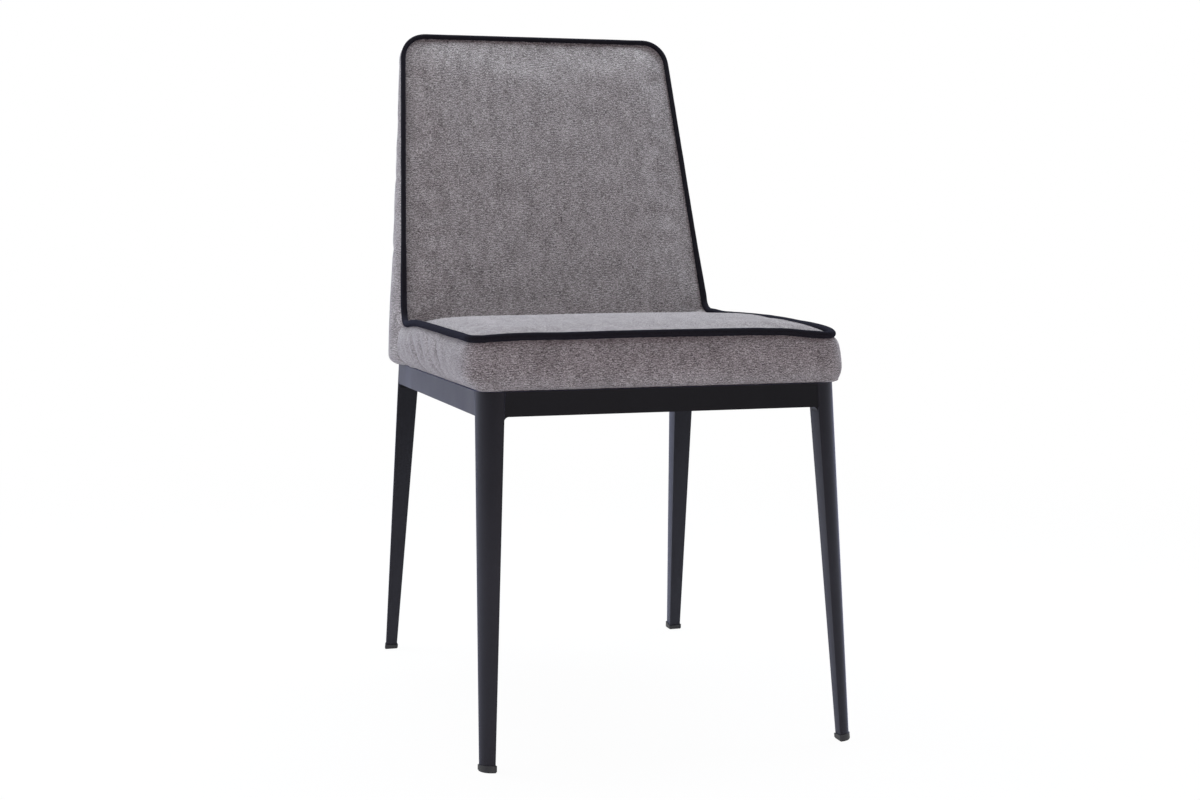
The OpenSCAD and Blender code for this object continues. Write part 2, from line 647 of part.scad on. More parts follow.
module outside_stiles(gap) {
    for (side = [-1, 1]) at_stile(side) translate([-stile_t - gap, -reach / 2, -reach / 2])
        cube([reach, 3 * reach, 2 * reach]);
}
module back_cross_rail(profile) {
    half = back_low_w / 2;
    color(PLY) stand() difference() {
        across(-half, half, profile);
        outside_stiles(0);
        below_board_top(rest_gap);
    }
}
module back_top_rail() {
    levels = [for (z = frame_levels) if (z > stile_head_z - back_rail_h) z];
    back_cross_rail(wedge_profile(concat([stile_head_z - back_rail_h], levels)));
}
function slab_profile(z0, z1) = [[stile_front(z0), z0], [stile_front(z0) + back_rail_t, z0],
    [stile_front(z1) + back_rail_t, z1], [stile_front(z1), z1]];
module back_lumbar_rail() {
    back_cross_rail(slab_profile(lumbar_z - lumbar_rail_h / 2, lumbar_z + lumbar_rail_h / 2));
}
module back_bottom_rail() {
    back_cross_rail(slab_profile(stile_foot_z - 10, stile_foot_z + foot_rail_h));
}
strap_levels = [for (i = [0:4]) lerp(stile_foot_z + 1.6 * back_rail_h,
                                     stile_head_z - 0.8 * back_rail_h, i / 4)];
module back_webbing() {
    slope = atan((pad_rear(stile_head_z) - pad_rear(stile_foot_z))
                 / (stile_head_z - stile_foot_z));
    color(BLACK) stand() for (z = strap_levels) {
        half = back_half(z) - side_pad - 3;
        translate([-half, pad_rear(z) + rest_gap, z]) rotate([-slope, 0, 0])
            translate([0, 0, -strap_w / 2]) cube([2 * half, strap_t, strap_w]);
    }
}
// The space taken by the back frame, open to the rear
module back_frame_space() {
    difference() {
        across(-reach / 2, reach / 2, concat(
            [for (z = heights(stile_foot_z - 30, stile_head_z + rest_gap, 3))
                [pad_rear(z), z]],
            [[reach * 2, stile_head_z + rest_gap], [reach * 2, stile_foot_z - 30]]));
        for (side = [-1, 1]) at_stile(side)
            translate([rest_gap, -reach / 2, -reach / 2]) cube([reach, 4 * reach, 2 * reach]);
    }
}
module back_foam() {
    t = cover_t + foam_gap;
    color(FOAM) stand() difference() {
        loft(concat(reversed([for (s = BACK_FACE) back_front_ring(s, t)]),
                    [front_seam_ring(t)], back_side_rings(t),
                    [rear_seam_ring(t), back_rear_ring(0.5, t)]));
        back_frame_space();
        below_board_top(rest_gap);
    }
}
module back_front_panel() {
    outer = concat([front_seam_ring(0)], [for (s = BACK_FACE) back_front_ring(s)]);
    inner = concat([front_seam_ring(cover_t)], [for (s = BACK_FACE) back_front_ring(s, cover_t)]);
    color(CLOTH) stand() difference() {
        loft(concat(reversed(outer), inner));
        below_board_top(rest_gap);
    }
}
module back_border() {
    slack = [0, rest_gap, 0];
    outer = concat([shifted(front_seam_ring(0), slack)], back_side_rings(0),
                   [shifted(rear_seam_ring(0), -slack)]);
    inner = concat([shifted(front_seam_ring(cover_t), slack)], back_side_rings(cover_t),
                   [shifted(rear_seam_ring(cover_t), -slack)]);
    open_x = frame_rear_w / 2 - hem_w - 4;
    color(CLOTH) stand() difference() {
        loft(concat(outer, reversed(inner)), closed = true);
        translate([-open_x, back_root - hem_w, back_foot_z - 5])
            cube([2 * open_x, frame_d - hem_w - 5 - back_root + hem_w, 5 + 4 * cover_t]);
        intersection() {
            below_board_top(rest_gap);
            translate([-back_low_w / 2 + 3 * board_inset, back_root - 5,
                       back_foot_z + cover_t + rest_gap / 2])
                cube([back_low_w - 6 * board_inset, 20, board_t + 5]);
        }
    }
}
module back_rear_wadding() {
    levels = [for (z = frame_levels) if (z < stile_head_z - 1) z];
    color(FOAM) stand() difference() {
        across(-back_low_w / 2, back_low_w / 2, concat(
            [for (z = levels) [stile_rear(z) + 2.5 * rest_gap, z]],
            [for (z = reversed(levels)) [back_rear(z) - cover_t - rest_gap, z]]));
        outside_stiles(-stile_t);
        below_board_top(rest_gap);
    }
}
module back_rear_panel() {
    outer = concat([rear_seam_ring(0)], [for (s = BACK_FACE) back_rear_ring(s)]);
    inner = concat([rear_seam_ring(cover_t)], [for (s = BACK_FACE) back_rear_ring(s, cover_t)]);
    color(CLOTH) stand() loft(concat(reversed(inner), outer));
}

// ---------------------------------------------------------------- piping
// Half of the piping's line, from the middle of the seat's front to the middle of the crest
function piping_half() =
    let (y0 = -seat_front_proud, r = seat_corner_r + seam,
         xc = seat_piping_half(y0 + r) - r, zt = crest_z, rt = back_corner_r,
         xt = back_half(zt - rt) - rt, turn = 90 - recline)
    concat(
        [for (x = concat([0], span(0, xc, 4))) [x, y0, seat_edge_z(x, y0)]],
        [for (p = arc_points([xc, y0 + r], r, -90, 0, 6)) [p[0], p[1], seat_side_z(p[1])]],
        [for (y = span(y0 + r, nook_y, 11)) [seat_piping_half(y), y, seat_side_z(y)]],
        [for (i = [0:5]) let (a = -90 + turn * i / 5)
            [seat_piping_half(nook_y + nook_r * cos(a)),
             nook_y + nook_r * cos(a), nook_z + nook_r * sin(a)]],
        [for (z = span(nook_z - nook_r * sin(recline), zt - rt, 9))
            [back_half(z), back_front(z), z]],
        [for (p = arc_points([xt, zt - rt], rt, 0, 90, 6)) [p[0], back_front(p[1]), p[1]]],
        [for (x = concat(span(xt, 0, 3), [0])) [x, back_front(zt), zt]]);
piping_line = let (h = piping_half())
    concat(h, [for (i = [len(h) - 2:-1:1]) [-h[i][0], h[i][1], h[i][2]]]);
piping_sides = 10;
function unit(v) = v / norm(v);
function piping_ring(i, r) =
    let (n = len(piping_line), t = unit(piping_line[(i + 1) % n] - piping_line[(i + n - 1) % n]),
         a = unit(cross(t, unit([0, 1, -1.1]))), b = cross(t, a))
    [for (k = [0:piping_sides - 1]) let (q = 360 * k / piping_sides)
        piping_line[i] + r * (cos(q) * a + sin(q) * b)];
module piping_tube(r) {
    loft([for (i = [0:len(piping_line) - 1]) piping_ring(i, r)], closed = true);
}
module piping() { color(BLACK) stand() piping_tube(piping_r); }

// ---------------------------------------------------------------- brackets and screws
screw_len = 10;
// The brackets stand behind the bottom rail
bracket_y = stile_front(stile_foot_z + bracket_leg) + back_rail_t + 1 + bracket_w / 2;
module bracket_screw_row() {
    for (z = [0.4, 0.8]) translate([-stile_t, bracket_y, bracket_leg * z])
        rotate([0, 90, 0]) children();
}
module board_screw_points(side) {
    x0 = stile_x - stile_t;
    for (k = [0.4, 0.8]) on_frame()
        translate([side * (x0 - bracket_leg * k), bracket_y, board_top]) children();
}
module back_bracket(side) {
    hole = screw_d + 0.4;
    color(BARE_STEEL) stand() difference() {
        union() {
            difference() {
                at_stile(side) translate([-stile_t - bracket_t, bracket_y - bracket_w / 2, -10])
                    cube([bracket_t, bracket_w, bracket_leg + 10]);
                below_board_top(rest_gap);
            }
            difference() {
                on_frame() mirror([side < 0 ? 1 : 0, 0, 0])
                    translate([stile_x - stile_t - bracket_leg, bracket_y - bracket_w / 2,
                               board_top + rest_gap])
                        cube([bracket_leg + 5, bracket_w, bracket_t]);
                at_stile(side) translate([-stile_t, -reach / 2, -reach / 2])
                    cube([reach, 3 * reach, 2 * reach]);
            }
        }
        at_stile(side) bracket_screw_row() cylinder(d = hole, h = 4 * bracket_t, center = true);
        board_screw_points(side) cylinder(d = hole, h = 4 * bracket_t, center = true);
    }
}
module wood_screw(seat) {
    translate([0, 0, seat]) cylinder(d = screw_head_d, h = screw_head_d / 4);
    translate([0, 0, seat - screw_len]) cylinder(d = screw_d, h = screw_len);
}
module bracket_screws() {
    color(BARE_STEEL) stand() for (side = [-1, 1]) {
        board_screw_points(side) wood_screw(bracket_t + rest_gap);
        at_stile(side) bracket_screw_row() mirror([0, 0, 1]) wood_screw(bracket_t);
    }
}

// ---------------------------------------------------------------- seat fasteners
module seat_bolts() {
    seat = -plate_t - washer_t;
    color(BARE_STEEL) stand() for (c = CORNERS) at_bolt(c) difference() {
        union() {
            translate([0, 0, seat - bolt_head_h]) cylinder(d = bolt_head_d, h = bolt_head_h);
            translate([0, 0, seat]) cylinder(d = bolt_d, h = bolt_len);
        }
        translate([0, 0, seat - bolt_head_h - 1])
            cylinder(d = bolt_socket / cos(30), h = bolt_head_h * 0.6 + 1, $fn = 6);
    }
}
module seat_washers() {
    color(BARE_STEEL) stand() for (c = CORNERS) at_bolt(c)
        translate([0, 0, -plate_t - washer_t]) difference() {
            cylinder(d = washer_d, h = washer_t);
            translate([0, 0, -1]) cylinder(d = bolt_d + 0.4, h = washer_t + 2);
        }
}
module tee_nuts() {
    bore = bolt_d + rest_gap;
    low = board_z + rest_gap;
    color(BARE_STEEL) stand() for (c = CORNERS) at_bolt(c) difference() {
        union() {
            translate([0, 0, board_top - tee_flange_t]) cylinder(d = tee_flange_d, h = tee_flange_t);
            translate([0, 0, low]) cylinder(d = tee_barrel_d, h = board_top - low);
        }
        cylinder(d = bore, h = 3 * board_top);
    }
}

leg(FRONT_LEFT);  // front_left_leg
leg(FRONT_RIGHT);  // front_right_leg
leg(REAR_LEFT);  // rear_left_leg
leg(REAR_RIGHT);  // rear_right_leg
end_rail(-1);  // front_rail
end_rail(1);  // rear_rail
side_rail(-1);  // left_rail
side_rail(1);  // right_rail
weld_fillets();
corner_plate(FRONT_LEFT);  // front_left_plate
corner_plate(FRONT_RIGHT);  // front_right_plate
corner_plate(REAR_LEFT);  // rear_left_plate
corner_plate(REAR_RIGHT);  // rear_right_plate
glide(FRONT_LEFT);  // front_left_glide
glide(FRONT_RIGHT);  // front_right_glide
glide(REAR_LEFT);  // rear_left_glide
glide(REAR_RIGHT);  // rear_right_glide
seat_board();
seat_foam();
seat_top_panel();
seat_border();
seat_dust_cover();
back_stile(-1);  // left_back_stile
back_stile(1);  // right_back_stile
back_top_rail();
back_lumbar_rail();
back_bottom_rail();
back_webbing();
back_foam();
back_front_panel();
back_border();
back_rear_wadding();
back_rear_panel();
piping();
back_bracket(-1);  // left_back_bracket
back_bracket(1);  // right_back_bracket
bracket_screws();
seat_bolts();
seat_washers();
tee_nuts();
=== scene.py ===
"""Dining chair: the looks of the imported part, built around its steel frame and upholstery.

Lengths are metres unless a name ends in _mm, and shares run from 0 to 1. Local y starts at the
frame's front face, and ChairLines.place() moves it into the part's frame.
"""

import logging
import math
from dataclasses import dataclass
from enum import Enum
from typing import Any, Sequence

import bpy
import numpy as np
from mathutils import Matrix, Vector, noise


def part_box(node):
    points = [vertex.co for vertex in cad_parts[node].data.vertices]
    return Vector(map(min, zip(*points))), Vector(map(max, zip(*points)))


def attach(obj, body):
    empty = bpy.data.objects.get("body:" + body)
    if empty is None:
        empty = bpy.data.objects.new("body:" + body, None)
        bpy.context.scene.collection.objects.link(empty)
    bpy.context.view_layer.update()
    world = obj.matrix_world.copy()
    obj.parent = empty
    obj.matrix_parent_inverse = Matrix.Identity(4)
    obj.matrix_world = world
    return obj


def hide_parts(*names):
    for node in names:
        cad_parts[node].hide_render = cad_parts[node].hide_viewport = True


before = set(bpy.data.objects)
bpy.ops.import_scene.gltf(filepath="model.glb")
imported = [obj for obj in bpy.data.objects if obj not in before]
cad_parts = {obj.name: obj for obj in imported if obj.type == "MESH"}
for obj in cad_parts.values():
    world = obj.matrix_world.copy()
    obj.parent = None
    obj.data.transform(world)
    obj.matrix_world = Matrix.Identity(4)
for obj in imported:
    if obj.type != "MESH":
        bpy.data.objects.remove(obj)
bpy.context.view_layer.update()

MM = 0.001
RIGHT_ANGLE = math.pi / 2
THREAD_MAP = "thread_mm"            # weft and warp position on each cut panel, in millimetres
MIRROR_X = np.array([-1, 1])
log = logging.getLogger("dining_chair")

Array = np.ndarray
Socket = bpy.types.NodeSocket


# ------------------------------------------------------------------ small helpers
def linear(hex_colour: str) -> tuple[float, float, float, float]:
    """Turns an sRGB hex colour into linear components.

    Args:
        hex_colour: such as "#8f8a8b".

    Returns:
        Linear red, green and blue, and an alpha of 1.
    """
    digits = hex_colour.lstrip("#")
    srgb = [int(digits[i:i + 2], 16) / 255 for i in (0, 2, 4)]
    r, g, b = (c / 12.92 if c <= 0.04045 else ((c + 0.055) / 1.055) ** 2.4 for c in srgb)
    return r, g, b, 1.0


def add_node(owner: bpy.types.Material | bpy.types.World, kind: str,
             settings: dict[str, Any] | None = None,
             links: dict[str, Socket] | None = None) -> bpy.types.Node:
    """Adds one shader node with its settings and incoming links.

    Args:
        owner: the material or world whose tree gets the node.
        kind: the node's type name.
        settings: property names, or input names starting with "=", with their values.
        links: input names with the output socket each takes.

    Returns:
        The new node.
    """
    tree = owner.node_tree
    node = tree.nodes.new(kind)
    for name, value in (settings or {}).items():
        if name.startswith("="):
            key = name[1:]
            node.inputs[int(key) if key.isdigit() else key].default_value = value
        else:
            setattr(node, name, value)
    for name, socket in (links or {}).items():
        tree.links.new(socket, node.inputs[int(name) if name.isdigit() else name])
    return node


def lerp(a: Any, b: Any, t: Any) -> Any:
    """Goes from a to b by the share t."""
    return a + (b - a) * t


def beyond(value: Array, start: float, reach: float) -> Array:
    """Eases from 0 at a start to 1 where the value lies a reach beyond it."""
    t = np.clip((value - start) / reach, 0, 1)
    return t * t * (3 - 2 * t)


def about(value: Array, middle: float, reach: float) -> Array:
    """A bell: 1 in the middle, and nearly 0 from two reaches away."""
    return np.exp(-((value - middle) / reach) ** 2)


def arc(centre: tuple[float, float], radius: float, start: float, stop: float,
        cells: int) -> Array:
    """Points round an arc.

    Args:
        centre: its centre.
        radius: its radius.
        start: first angle, from the first axis.
        stop: last angle.
        cells: number of steps.

    Returns:
        One row of two coordinates for each point.
    """
    a = np.linspace(start, stop, cells + 1)
    return np.asarray(centre) + radius * np.c_[np.cos(a), np.sin(a)]


def edge_share(across: Array, along: Array, squareness: int) -> Array:
    """Share of the way from a panel's middle to its edge, with square or softer corners."""
    total = np.abs(across) ** squareness + np.abs(along) ** squareness
    return np.minimum(1, total ** (1 / squareness))


def walked(points: Array) -> Array:
    """Distance walked along a row of points, in millimetres."""
    steps = np.linalg.norm(np.diff(points, axis=0), axis=1)
    return np.concatenate([[0], np.cumsum(steps)]) / MM


def edge_hold(rows: int, columns: int) -> Array:
    """Holds the edges of a grid: 1 round it and 0 inside."""
    hold = np.ones((rows, columns))
    hold[1:-1, 1:-1] = 0
    return hold


def noise_at(points: Array, scale: float, seed: float) -> Array:
    """Signed noise of one size at each point.

    Args:
        points: positions in metres.
        scale: size of one lump in metres.
        seed: shifts the pattern.

    Returns:
        One value for each point, about -1 to 1.
    """
    shift = Vector((seed, 1.7 * seed, 2.3 * seed))
    return np.array([noise.noise(Vector(p) / scale + shift) for p in points])


# ------------------------------------------------------------------ meshes
def grid_faces(rows: int, columns: int, first: int = 0, flip: bool = False, tube: bool = False,
               loop: bool = False) -> list[tuple[int, ...]]:
    """Quads over a grid of vertices.

    Args:
        rows: number of vertex rows.
        columns: number of vertices in a row.
        first: index of the grid's first vertex.
        flip: turns the faces over.
        tube: joins the last column to the first.
        loop: joins the last row to the first.

    Returns:
        The quads as index tuples.
    """
    quads = []
    for i in range(rows if loop else rows - 1):
        low, high = first + i * columns, first + (i + 1) % rows * columns
        for j in range(columns if tube else columns - 1):
            k = (j + 1) % columns
            quad = (low + j, low + k, high + k, high + j)
            quads.append(quad[::-1] if flip else quad)
    return quads


def make_object(name: str, points: Array, faces: Sequence[tuple[int, ...]],
                threads: Array | None = None) -> bpy.types.Object:
    """Makes a smooth mesh object at the part's origin.

    Args:
        name: object name.
        points: vertices, in the part's frame.
        faces: index tuples.
        threads: position of each vertex on its cut panel, in millimetres.

    Returns:
        The linked object.
    """
    mesh = bpy.data.meshes.new(name)
    mesh.from_pydata([tuple(map(float, p)) for p in points], [], faces)
    if threads is not None:
        layer = mesh.attributes.new(THREAD_MAP, "FLOAT_VECTOR", "POINT")
        layer.data.foreach_set("vector", np.asarray(threads, np.float32).ravel())
    mesh.validate()
    mesh.update()
    mesh.shade_smooth()
    obj = bpy.data.objects.new(name, mesh)
    bpy.context.scene.collection.objects.link(obj)
    return obj


def coordinates(mesh: bpy.types.Mesh) -> Array:
    """The vertices of a mesh as an array."""
    co = np.empty(len(mesh.vertices) * 3)
    mesh.vertices.foreach_get("co", co)
    return co.reshape(-1, 3)


def set_coordinates(obj: bpy.types.Object, points: Array) -> None:
    """Moves the vertices of an object's own mesh."""
    obj.data.vertices.foreach_set("co", np.asarray(points, float).ravel())
    obj.data.update()


def swell(obj: bpy.types.Object, steps: Array) -> None:
    """Moves each vertex of an object's own mesh along its normal."""
    normals = np.array([v.normal[:] for v in obj.data.vertices])
    set_coordinates(obj, coordinates(obj.data) + normals * steps[:, None])


def subdivide(obj: bpy.types.Object) -> None:
    """Applies one level of Catmull-Clark subdivision.

    Args:
        obj: the object whose mesh is rounded.
    """
    modifier = obj.modifiers.new("subdivision", "SUBSURF")
    modifier.levels = modifier.render_levels = 1
    graph = bpy.context.evaluated_depsgraph_get()
    dense = bpy.data.meshes.new_from_object(obj.evaluated_get(graph), depsgraph=graph)
    obj.modifiers.remove(modifier)
    obj.data = dense
    dense.shade_smooth()


def dress(obj: bpy.types.Object, material: bpy.types.Material) -> None:
    """Gives an object made here one material."""
    obj.data.materials.clear()
    obj.data.materials.append(material)


def dress_node(name: str, material: bpy.types.Material) -> None:
    """Gives a CAD node one material in each of its slots.

    Args:
        name: the node's name.
        material: the material.
    """
    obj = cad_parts[name]
    if not obj.material_slots:
        obj.data.materials.append(material)
    for slot in obj.material_slots:
        slot.link = "OBJECT"
        slot.material = material


# ------------------------------------------------------------------ finishes
class Space(Enum):
    """Where a pattern takes its coordinates."""

    OBJECT = "the part's own metres"
    THREADS = "the cut panel's millimetres"


class Surface:
    """One procedural material while it is being made."""

    def __init__(self, name: str) -> None:
        """Starts the material with its shader.

        Args:
            name: the material's name.
        """
        self.material = bpy.data.materials.new(name)
        self.material.use_nodes = True
        self.material.node_tree.nodes.clear()
        self.shader = add_node(self.material, "ShaderNodeBsdfPrincipled")
        add_node(self.material, "ShaderNodeOutputMaterial",
                 links={"Surface": self.shader.outputs[0]})

    def wire(self, name: str, socket: Socket) -> None:
        """Links one output to a named input of the shader."""
        self.material.node_tree.links.new(socket, self.shader.inputs[name])

    def fix(self, values: dict[str, Any]) -> None:
        """Sets inputs of the shader that are the same all over the surface."""
        for name, value in values.items():
            self.shader.inputs[name].default_value = value

    def place(self, space: Space, size_mm: Sequence[float]) -> Socket:
        """Coordinates that grow by 1 for each pattern cell.

        Args:
            space: where the coordinates come from.
            size_mm: size of a cell along each axis, in millimetres.

        Returns:
            The scaled coordinates.
        """
        if space is Space.THREADS:
            unit = 1.0
            source = add_node(self.material, "ShaderNodeAttribute",
                              {"attribute_name": THREAD_MAP}).outputs["Vector"]
        else:
            unit = MM
            source = add_node(self.material, "ShaderNodeTexCoord").outputs["Object"]
        scale = tuple(1 / (size * unit) for size in size_mm)
        return add_node(self.material, "ShaderNodeVectorMath",
                        {"operation": "MULTIPLY", "=1": scale}, {"0": source}).outputs[0]

    def speckle(self, space: Space, size_mm: Sequence[float], detail: float = 2.0,
                low: float = 0.3, high: float = 0.7) -> Socket:
        """Noise of one size, stretched to the full range.

        Args:
            space: where the coordinates come from.
            size_mm: size of a lump along each axis, in millimetres.
            detail: octaves of finer noise.
            low: noise value that becomes 0.
            high: noise value that becomes 1.

        Returns:
            A value from 0 to 1.
        """
        lumps = add_node(self.material, "ShaderNodeTexNoise", {"=Scale": 1.0, "=Detail": detail},
                         {"Vector": self.place(space, size_mm)})
        return add_node(self.material, "ShaderNodeMapRange",
                        {"=From Min": low, "=From Max": high},
                        {"Value": lumps.outputs["Fac"]}).outputs["Result"]

    def blend(self, terms: Sequence[tuple[Socket, float]]) -> Socket:
        """Adds patterns, each times its share.

        Args:
            terms: pairs of a pattern and its share.

        Returns:
            The sum.
        """
        total = None
        for socket, share in terms:
            part = add_node(self.material, "ShaderNodeMath",
                            {"operation": "MULTIPLY", "=1": share}, {"0": socket}).outputs[0]
            total = part if total is None else add_node(
                self.material, "ShaderNodeMath", {"operation": "ADD"},
                {"0": total, "1": part}).outputs[0]
        return total

    def paint(self, tone: Socket, stops: Sequence[tuple[float, str]], relief: Socket,
              depth_mm: float, strength: float = 1.0) -> None:
        """Colours the surface after one pattern and embosses it with another.

        Args:
            tone: the pattern that the colours follow.
            stops: its values with their sRGB hex colours.
            relief: the pattern that stands out.
            depth_mm: height of the relief in millimetres.
            strength: share of the relief's effect.
        """
        ramp = add_node(self.material, "ShaderNodeValToRGB", links={"Fac": tone})
        marks = ramp.color_ramp.elements
        while len(marks) < len(stops):
            marks.new(0.5)
        for mark, (position, colour) in zip(marks, stops):
            mark.position = position
            mark.color = linear(colour)
        self.wire("Base Color", ramp.outputs["Color"])
        bump = add_node(self.material, "ShaderNodeBump",
                        {"=Distance": depth_mm * MM, "=Strength": strength}, {"Height": relief})
        self.wire("Normal", bump.outputs["Normal"])

    def roughen(self, pattern: Socket, low: float, high: float) -> None:
        """Lets the roughness follow a pattern.

        Args:
            pattern: a value from 0 to 1.
            low: roughness where it is 0.
            high: roughness where it is 1.
        """
        limits = add_node(self.material, "ShaderNodeMapRange",
                          {"=To Min": low, "=To Max": high}, {"Value": pattern})
        self.wire("Roughness", limits.outputs["Result"])


@dataclass(frozen=True)
class BrushedChenille:
    """Polyester chenille, woven and brushed: a short soft nap over slubby threads, which gives
    a heathered grey with a pale sheen at grazing angles."""

    name: str = "woven_chenille_taupe_grey"
    dark: str = "#474242"
    middle: str = "#8b8584"
    light: str = "#cfc9c8"
    sheen: str = "#e6e3ea"
    thread_mm: float = 0.7              # threads lie closer; drawn coarser so they show
    depth_mm: float = 50.0              # more than the cloth: a pattern is flat on its panel
    slub_mm: tuple[float, float] = (8, 1.4)         # thick places along a weft thread
    brushed_mm: tuple[float, float] = (17, 85)      # strokes of the brush, up the warp
    crushed_mm: tuple[float, float] = (20, 28)      # patches where the nap lies flat

    def pattern(self, surface: Surface, size_mm: tuple[float, float], detail: float,
                contrast: float = 0.15) -> Socket:
        """Noise on the cut panel.

        Args:
            surface: the surface that gets it.
            size_mm: size of a lump along the weft and the warp.
            detail: octaves of finer noise.
            contrast: distance of the noise's limits from its middle; less is harder.

        Returns:
            A value from 0 to 1.
        """
        return surface.speckle(Space.THREADS, (*size_mm, self.depth_mm), detail,
                               0.5 - contrast, 0.5 + contrast)

    def build(self) -> bpy.types.Material:
        """Builds the material.

        Returns:
            The finished material.
        """
        surface = Surface(self.name)
        pitch = self.thread_mm
        weft = self.pattern(surface, (4 * pitch, pitch), 1)
        warp = self.pattern(surface, (pitch, 3 * pitch), 1)
        nap = self.pattern(surface, (1.6 * pitch, 1.4 * pitch), 3)
        slub = self.pattern(surface, self.slub_mm, 2)
        brushed = self.pattern(surface, self.brushed_mm, 3, contrast=0.2)
        crushed = self.pattern(surface, self.crushed_mm, 4, contrast=0.2)
        tone = surface.blend([(weft, 0.28), (warp, 0.11), (nap, 0.30), (slub, 0.18),
                              (brushed, 0.03), (crushed, 0.085)])
        relief = surface.blend([(weft, 0.4), (warp, 0.2), (nap, 0.4)])
        surface.paint(tone, [(0.25, self.dark), (0.5, self.middle), (0.75, self.light)],
                      relief, 0.6, 0.9)
        surface.fix({"Roughness": 0.95, "Specular IOR Level": 0.15, "Sheen Weight": 0.55,
                     "Sheen Roughness": 0.3, "Sheen Tint": linear(self.sheen)})
        return surface.material


@dataclass(frozen=True)
class SatinPiping:
    """Black polyester satin cut on the bias over a cord: a fine slanted rib and a soft line of
    light along its crest."""

    name: str = "bias_cut_black_satin"
    dark: str = "#121114"
    light: str = "#2c2a2f"
    sheen: str = "#aab4e0"
    rib_mm: float = 1.1                 # threads lie 0.3 mm apart; drawn coarser so they show
    lint_mm: float = 0.9

    def build(self) -> bpy.types.Material:
        """Builds the material.

        Returns:
            The finished material.
        """
        surface = Surface(self.name)
        ribs = add_node(surface.material, "ShaderNodeTexWave",
                        {"wave_type": "BANDS", "bands_direction": "DIAGONAL", "=Scale": 0.31,
                         "=Distortion": 1.2, "=Detail": 1.0},
                        {"Vector": surface.place(Space.THREADS, (self.rib_mm,) * 3)})
        lint = surface.speckle(Space.OBJECT, (self.lint_mm,) * 3, 3)
        tone = surface.blend([(ribs.outputs["Fac"], 0.55), (lint, 0.45)])
        surface.paint(tone, [(0.1, self.dark), (0.9, self.light)], tone, 0.25, 0.6)
        surface.roughen(lint, 0.5, 0.68)
        surface.fix({"Specular IOR Level": 0.0, "Sheen Weight": 0.05, "Sheen Roughness": 0.5,
                     "Sheen Tint": linear(self.sheen)})
        return surface.material


@dataclass(frozen=True)
class PowderCoat:
    """Polyester powder coat on steel, baked: an even fine orange peel, matt to satin."""

    name: str = "powder_coated_steel_black"
    dark: str = "#0c0c0f"
    light: str = "#161619"
    sheen: float = 0.36
    sheen_tint: str = "#bcc1ee"
    grit_mm: float = 0.9                # the peel is 0.3 mm; drawn coarser so it shows
    haze_mm: tuple[float, float, float] = (60, 60, 90)
    painted_floor_light: float = 0.0              # share of painted light from the floor, paler towards the feet
    floor_light_from: float = 0.42             # height where the painted floor light begins
    floor_light_full: float = 0.2              # and where it is full

    def build(self) -> bpy.types.Material:
        """Builds the material.

        Returns:
            The finished material.
        """
        surface = Surface(self.name)
        peel = surface.speckle(Space.OBJECT, (self.grit_mm,) * 3, 2)
        haze = surface.speckle(Space.OBJECT, self.haze_mm, 3)
        position = add_node(surface.material, "ShaderNodeTexCoord").outputs["Object"]
        height = add_node(surface.material, "ShaderNodeSeparateXYZ",
                          links={"0": position}).outputs["Z"]
        # painted floor light: 0 at the first height and 1 at the second, paling the coat towards
        # the feet
        low = add_node(surface.material, "ShaderNodeMapRange",
                       {"=From Min": self.floor_light_from, "=From Max": self.floor_light_full},
                       {"Value": height}).outputs["Result"]
        even = 1 - self.painted_floor_light
        tone = surface.blend([(peel, 0.4 * even), (haze, 0.6 * even), (low, self.painted_floor_light)])
        surface.paint(tone, [(0.1, self.dark), (0.9, self.light)], peel, 0.03, 0.6)
        surface.roughen(haze, 0.44, 0.54)
        surface.fix({"Specular IOR Level": 0.1, "Sheen Weight": self.sheen,
                     "Sheen Roughness": 0.35, "Sheen Tint": linear(self.sheen_tint)})
        return surface.material


@dataclass(frozen=True)
class MouldedNylon:
    """Nylon glide, injection moulded with a spark-eroded grain: dull black, scuffed in places."""

    name: str = "moulded_nylon_black"
    dark: str = "#0c0d11"
    light: str = "#1a1c22"
    grain_mm: float = 0.7               # the grain is 0.2 mm; drawn coarser so it shows
    scuff_mm: tuple[float, float, float] = (2.5, 2.5, 8)

    def build(self) -> bpy.types.Material:
        """Builds the material.

        Returns:
            The finished material.
        """
        surface = Surface(self.name)
        grain = surface.speckle(Space.OBJECT, (self.grain_mm,) * 3, 3)
        scuff = surface.speckle(Space.OBJECT, self.scuff_mm, 4, 0.45, 0.75)
        tone = surface.blend([(grain, 0.5), (scuff, 0.5)])
        surface.paint(tone, [(0.1, self.dark), (0.95, self.light)], grain, 0.06, 0.7)
        surface.roughen(scuff, 0.5, 0.7)
        return surface.material


@dataclass(frozen=True)
class Timber:
    """Planed or peeled wood, unfinished and dull: long grain with growth rings."""

    name: str = "planed_beech"
    dark: str = "#a5794b"
    light: str = "#d2ab7a"
    ring_mm: tuple[float, float, float] = (60, 5, 5)
    pore_share: float = 1 / 6           # size of a pore beside a ring

    def build(self) -> bpy.types.Material:
        """Builds the material.

        Returns:
            The finished material.
        """
        surface = Surface(self.name)
        rings = surface.speckle(Space.OBJECT, self.ring_mm, 4)
        pores = surface.speckle(Space.OBJECT, [s * self.pore_share for s in self.ring_mm], 2)
        tone = surface.blend([(rings, 0.7), (pores, 0.3)])
        surface.paint(tone, [(0.1, self.dark), (0.9, self.light)], pores, 0.15, 0.5)
        surface.fix({"Roughness": 0.72})
        return surface.material


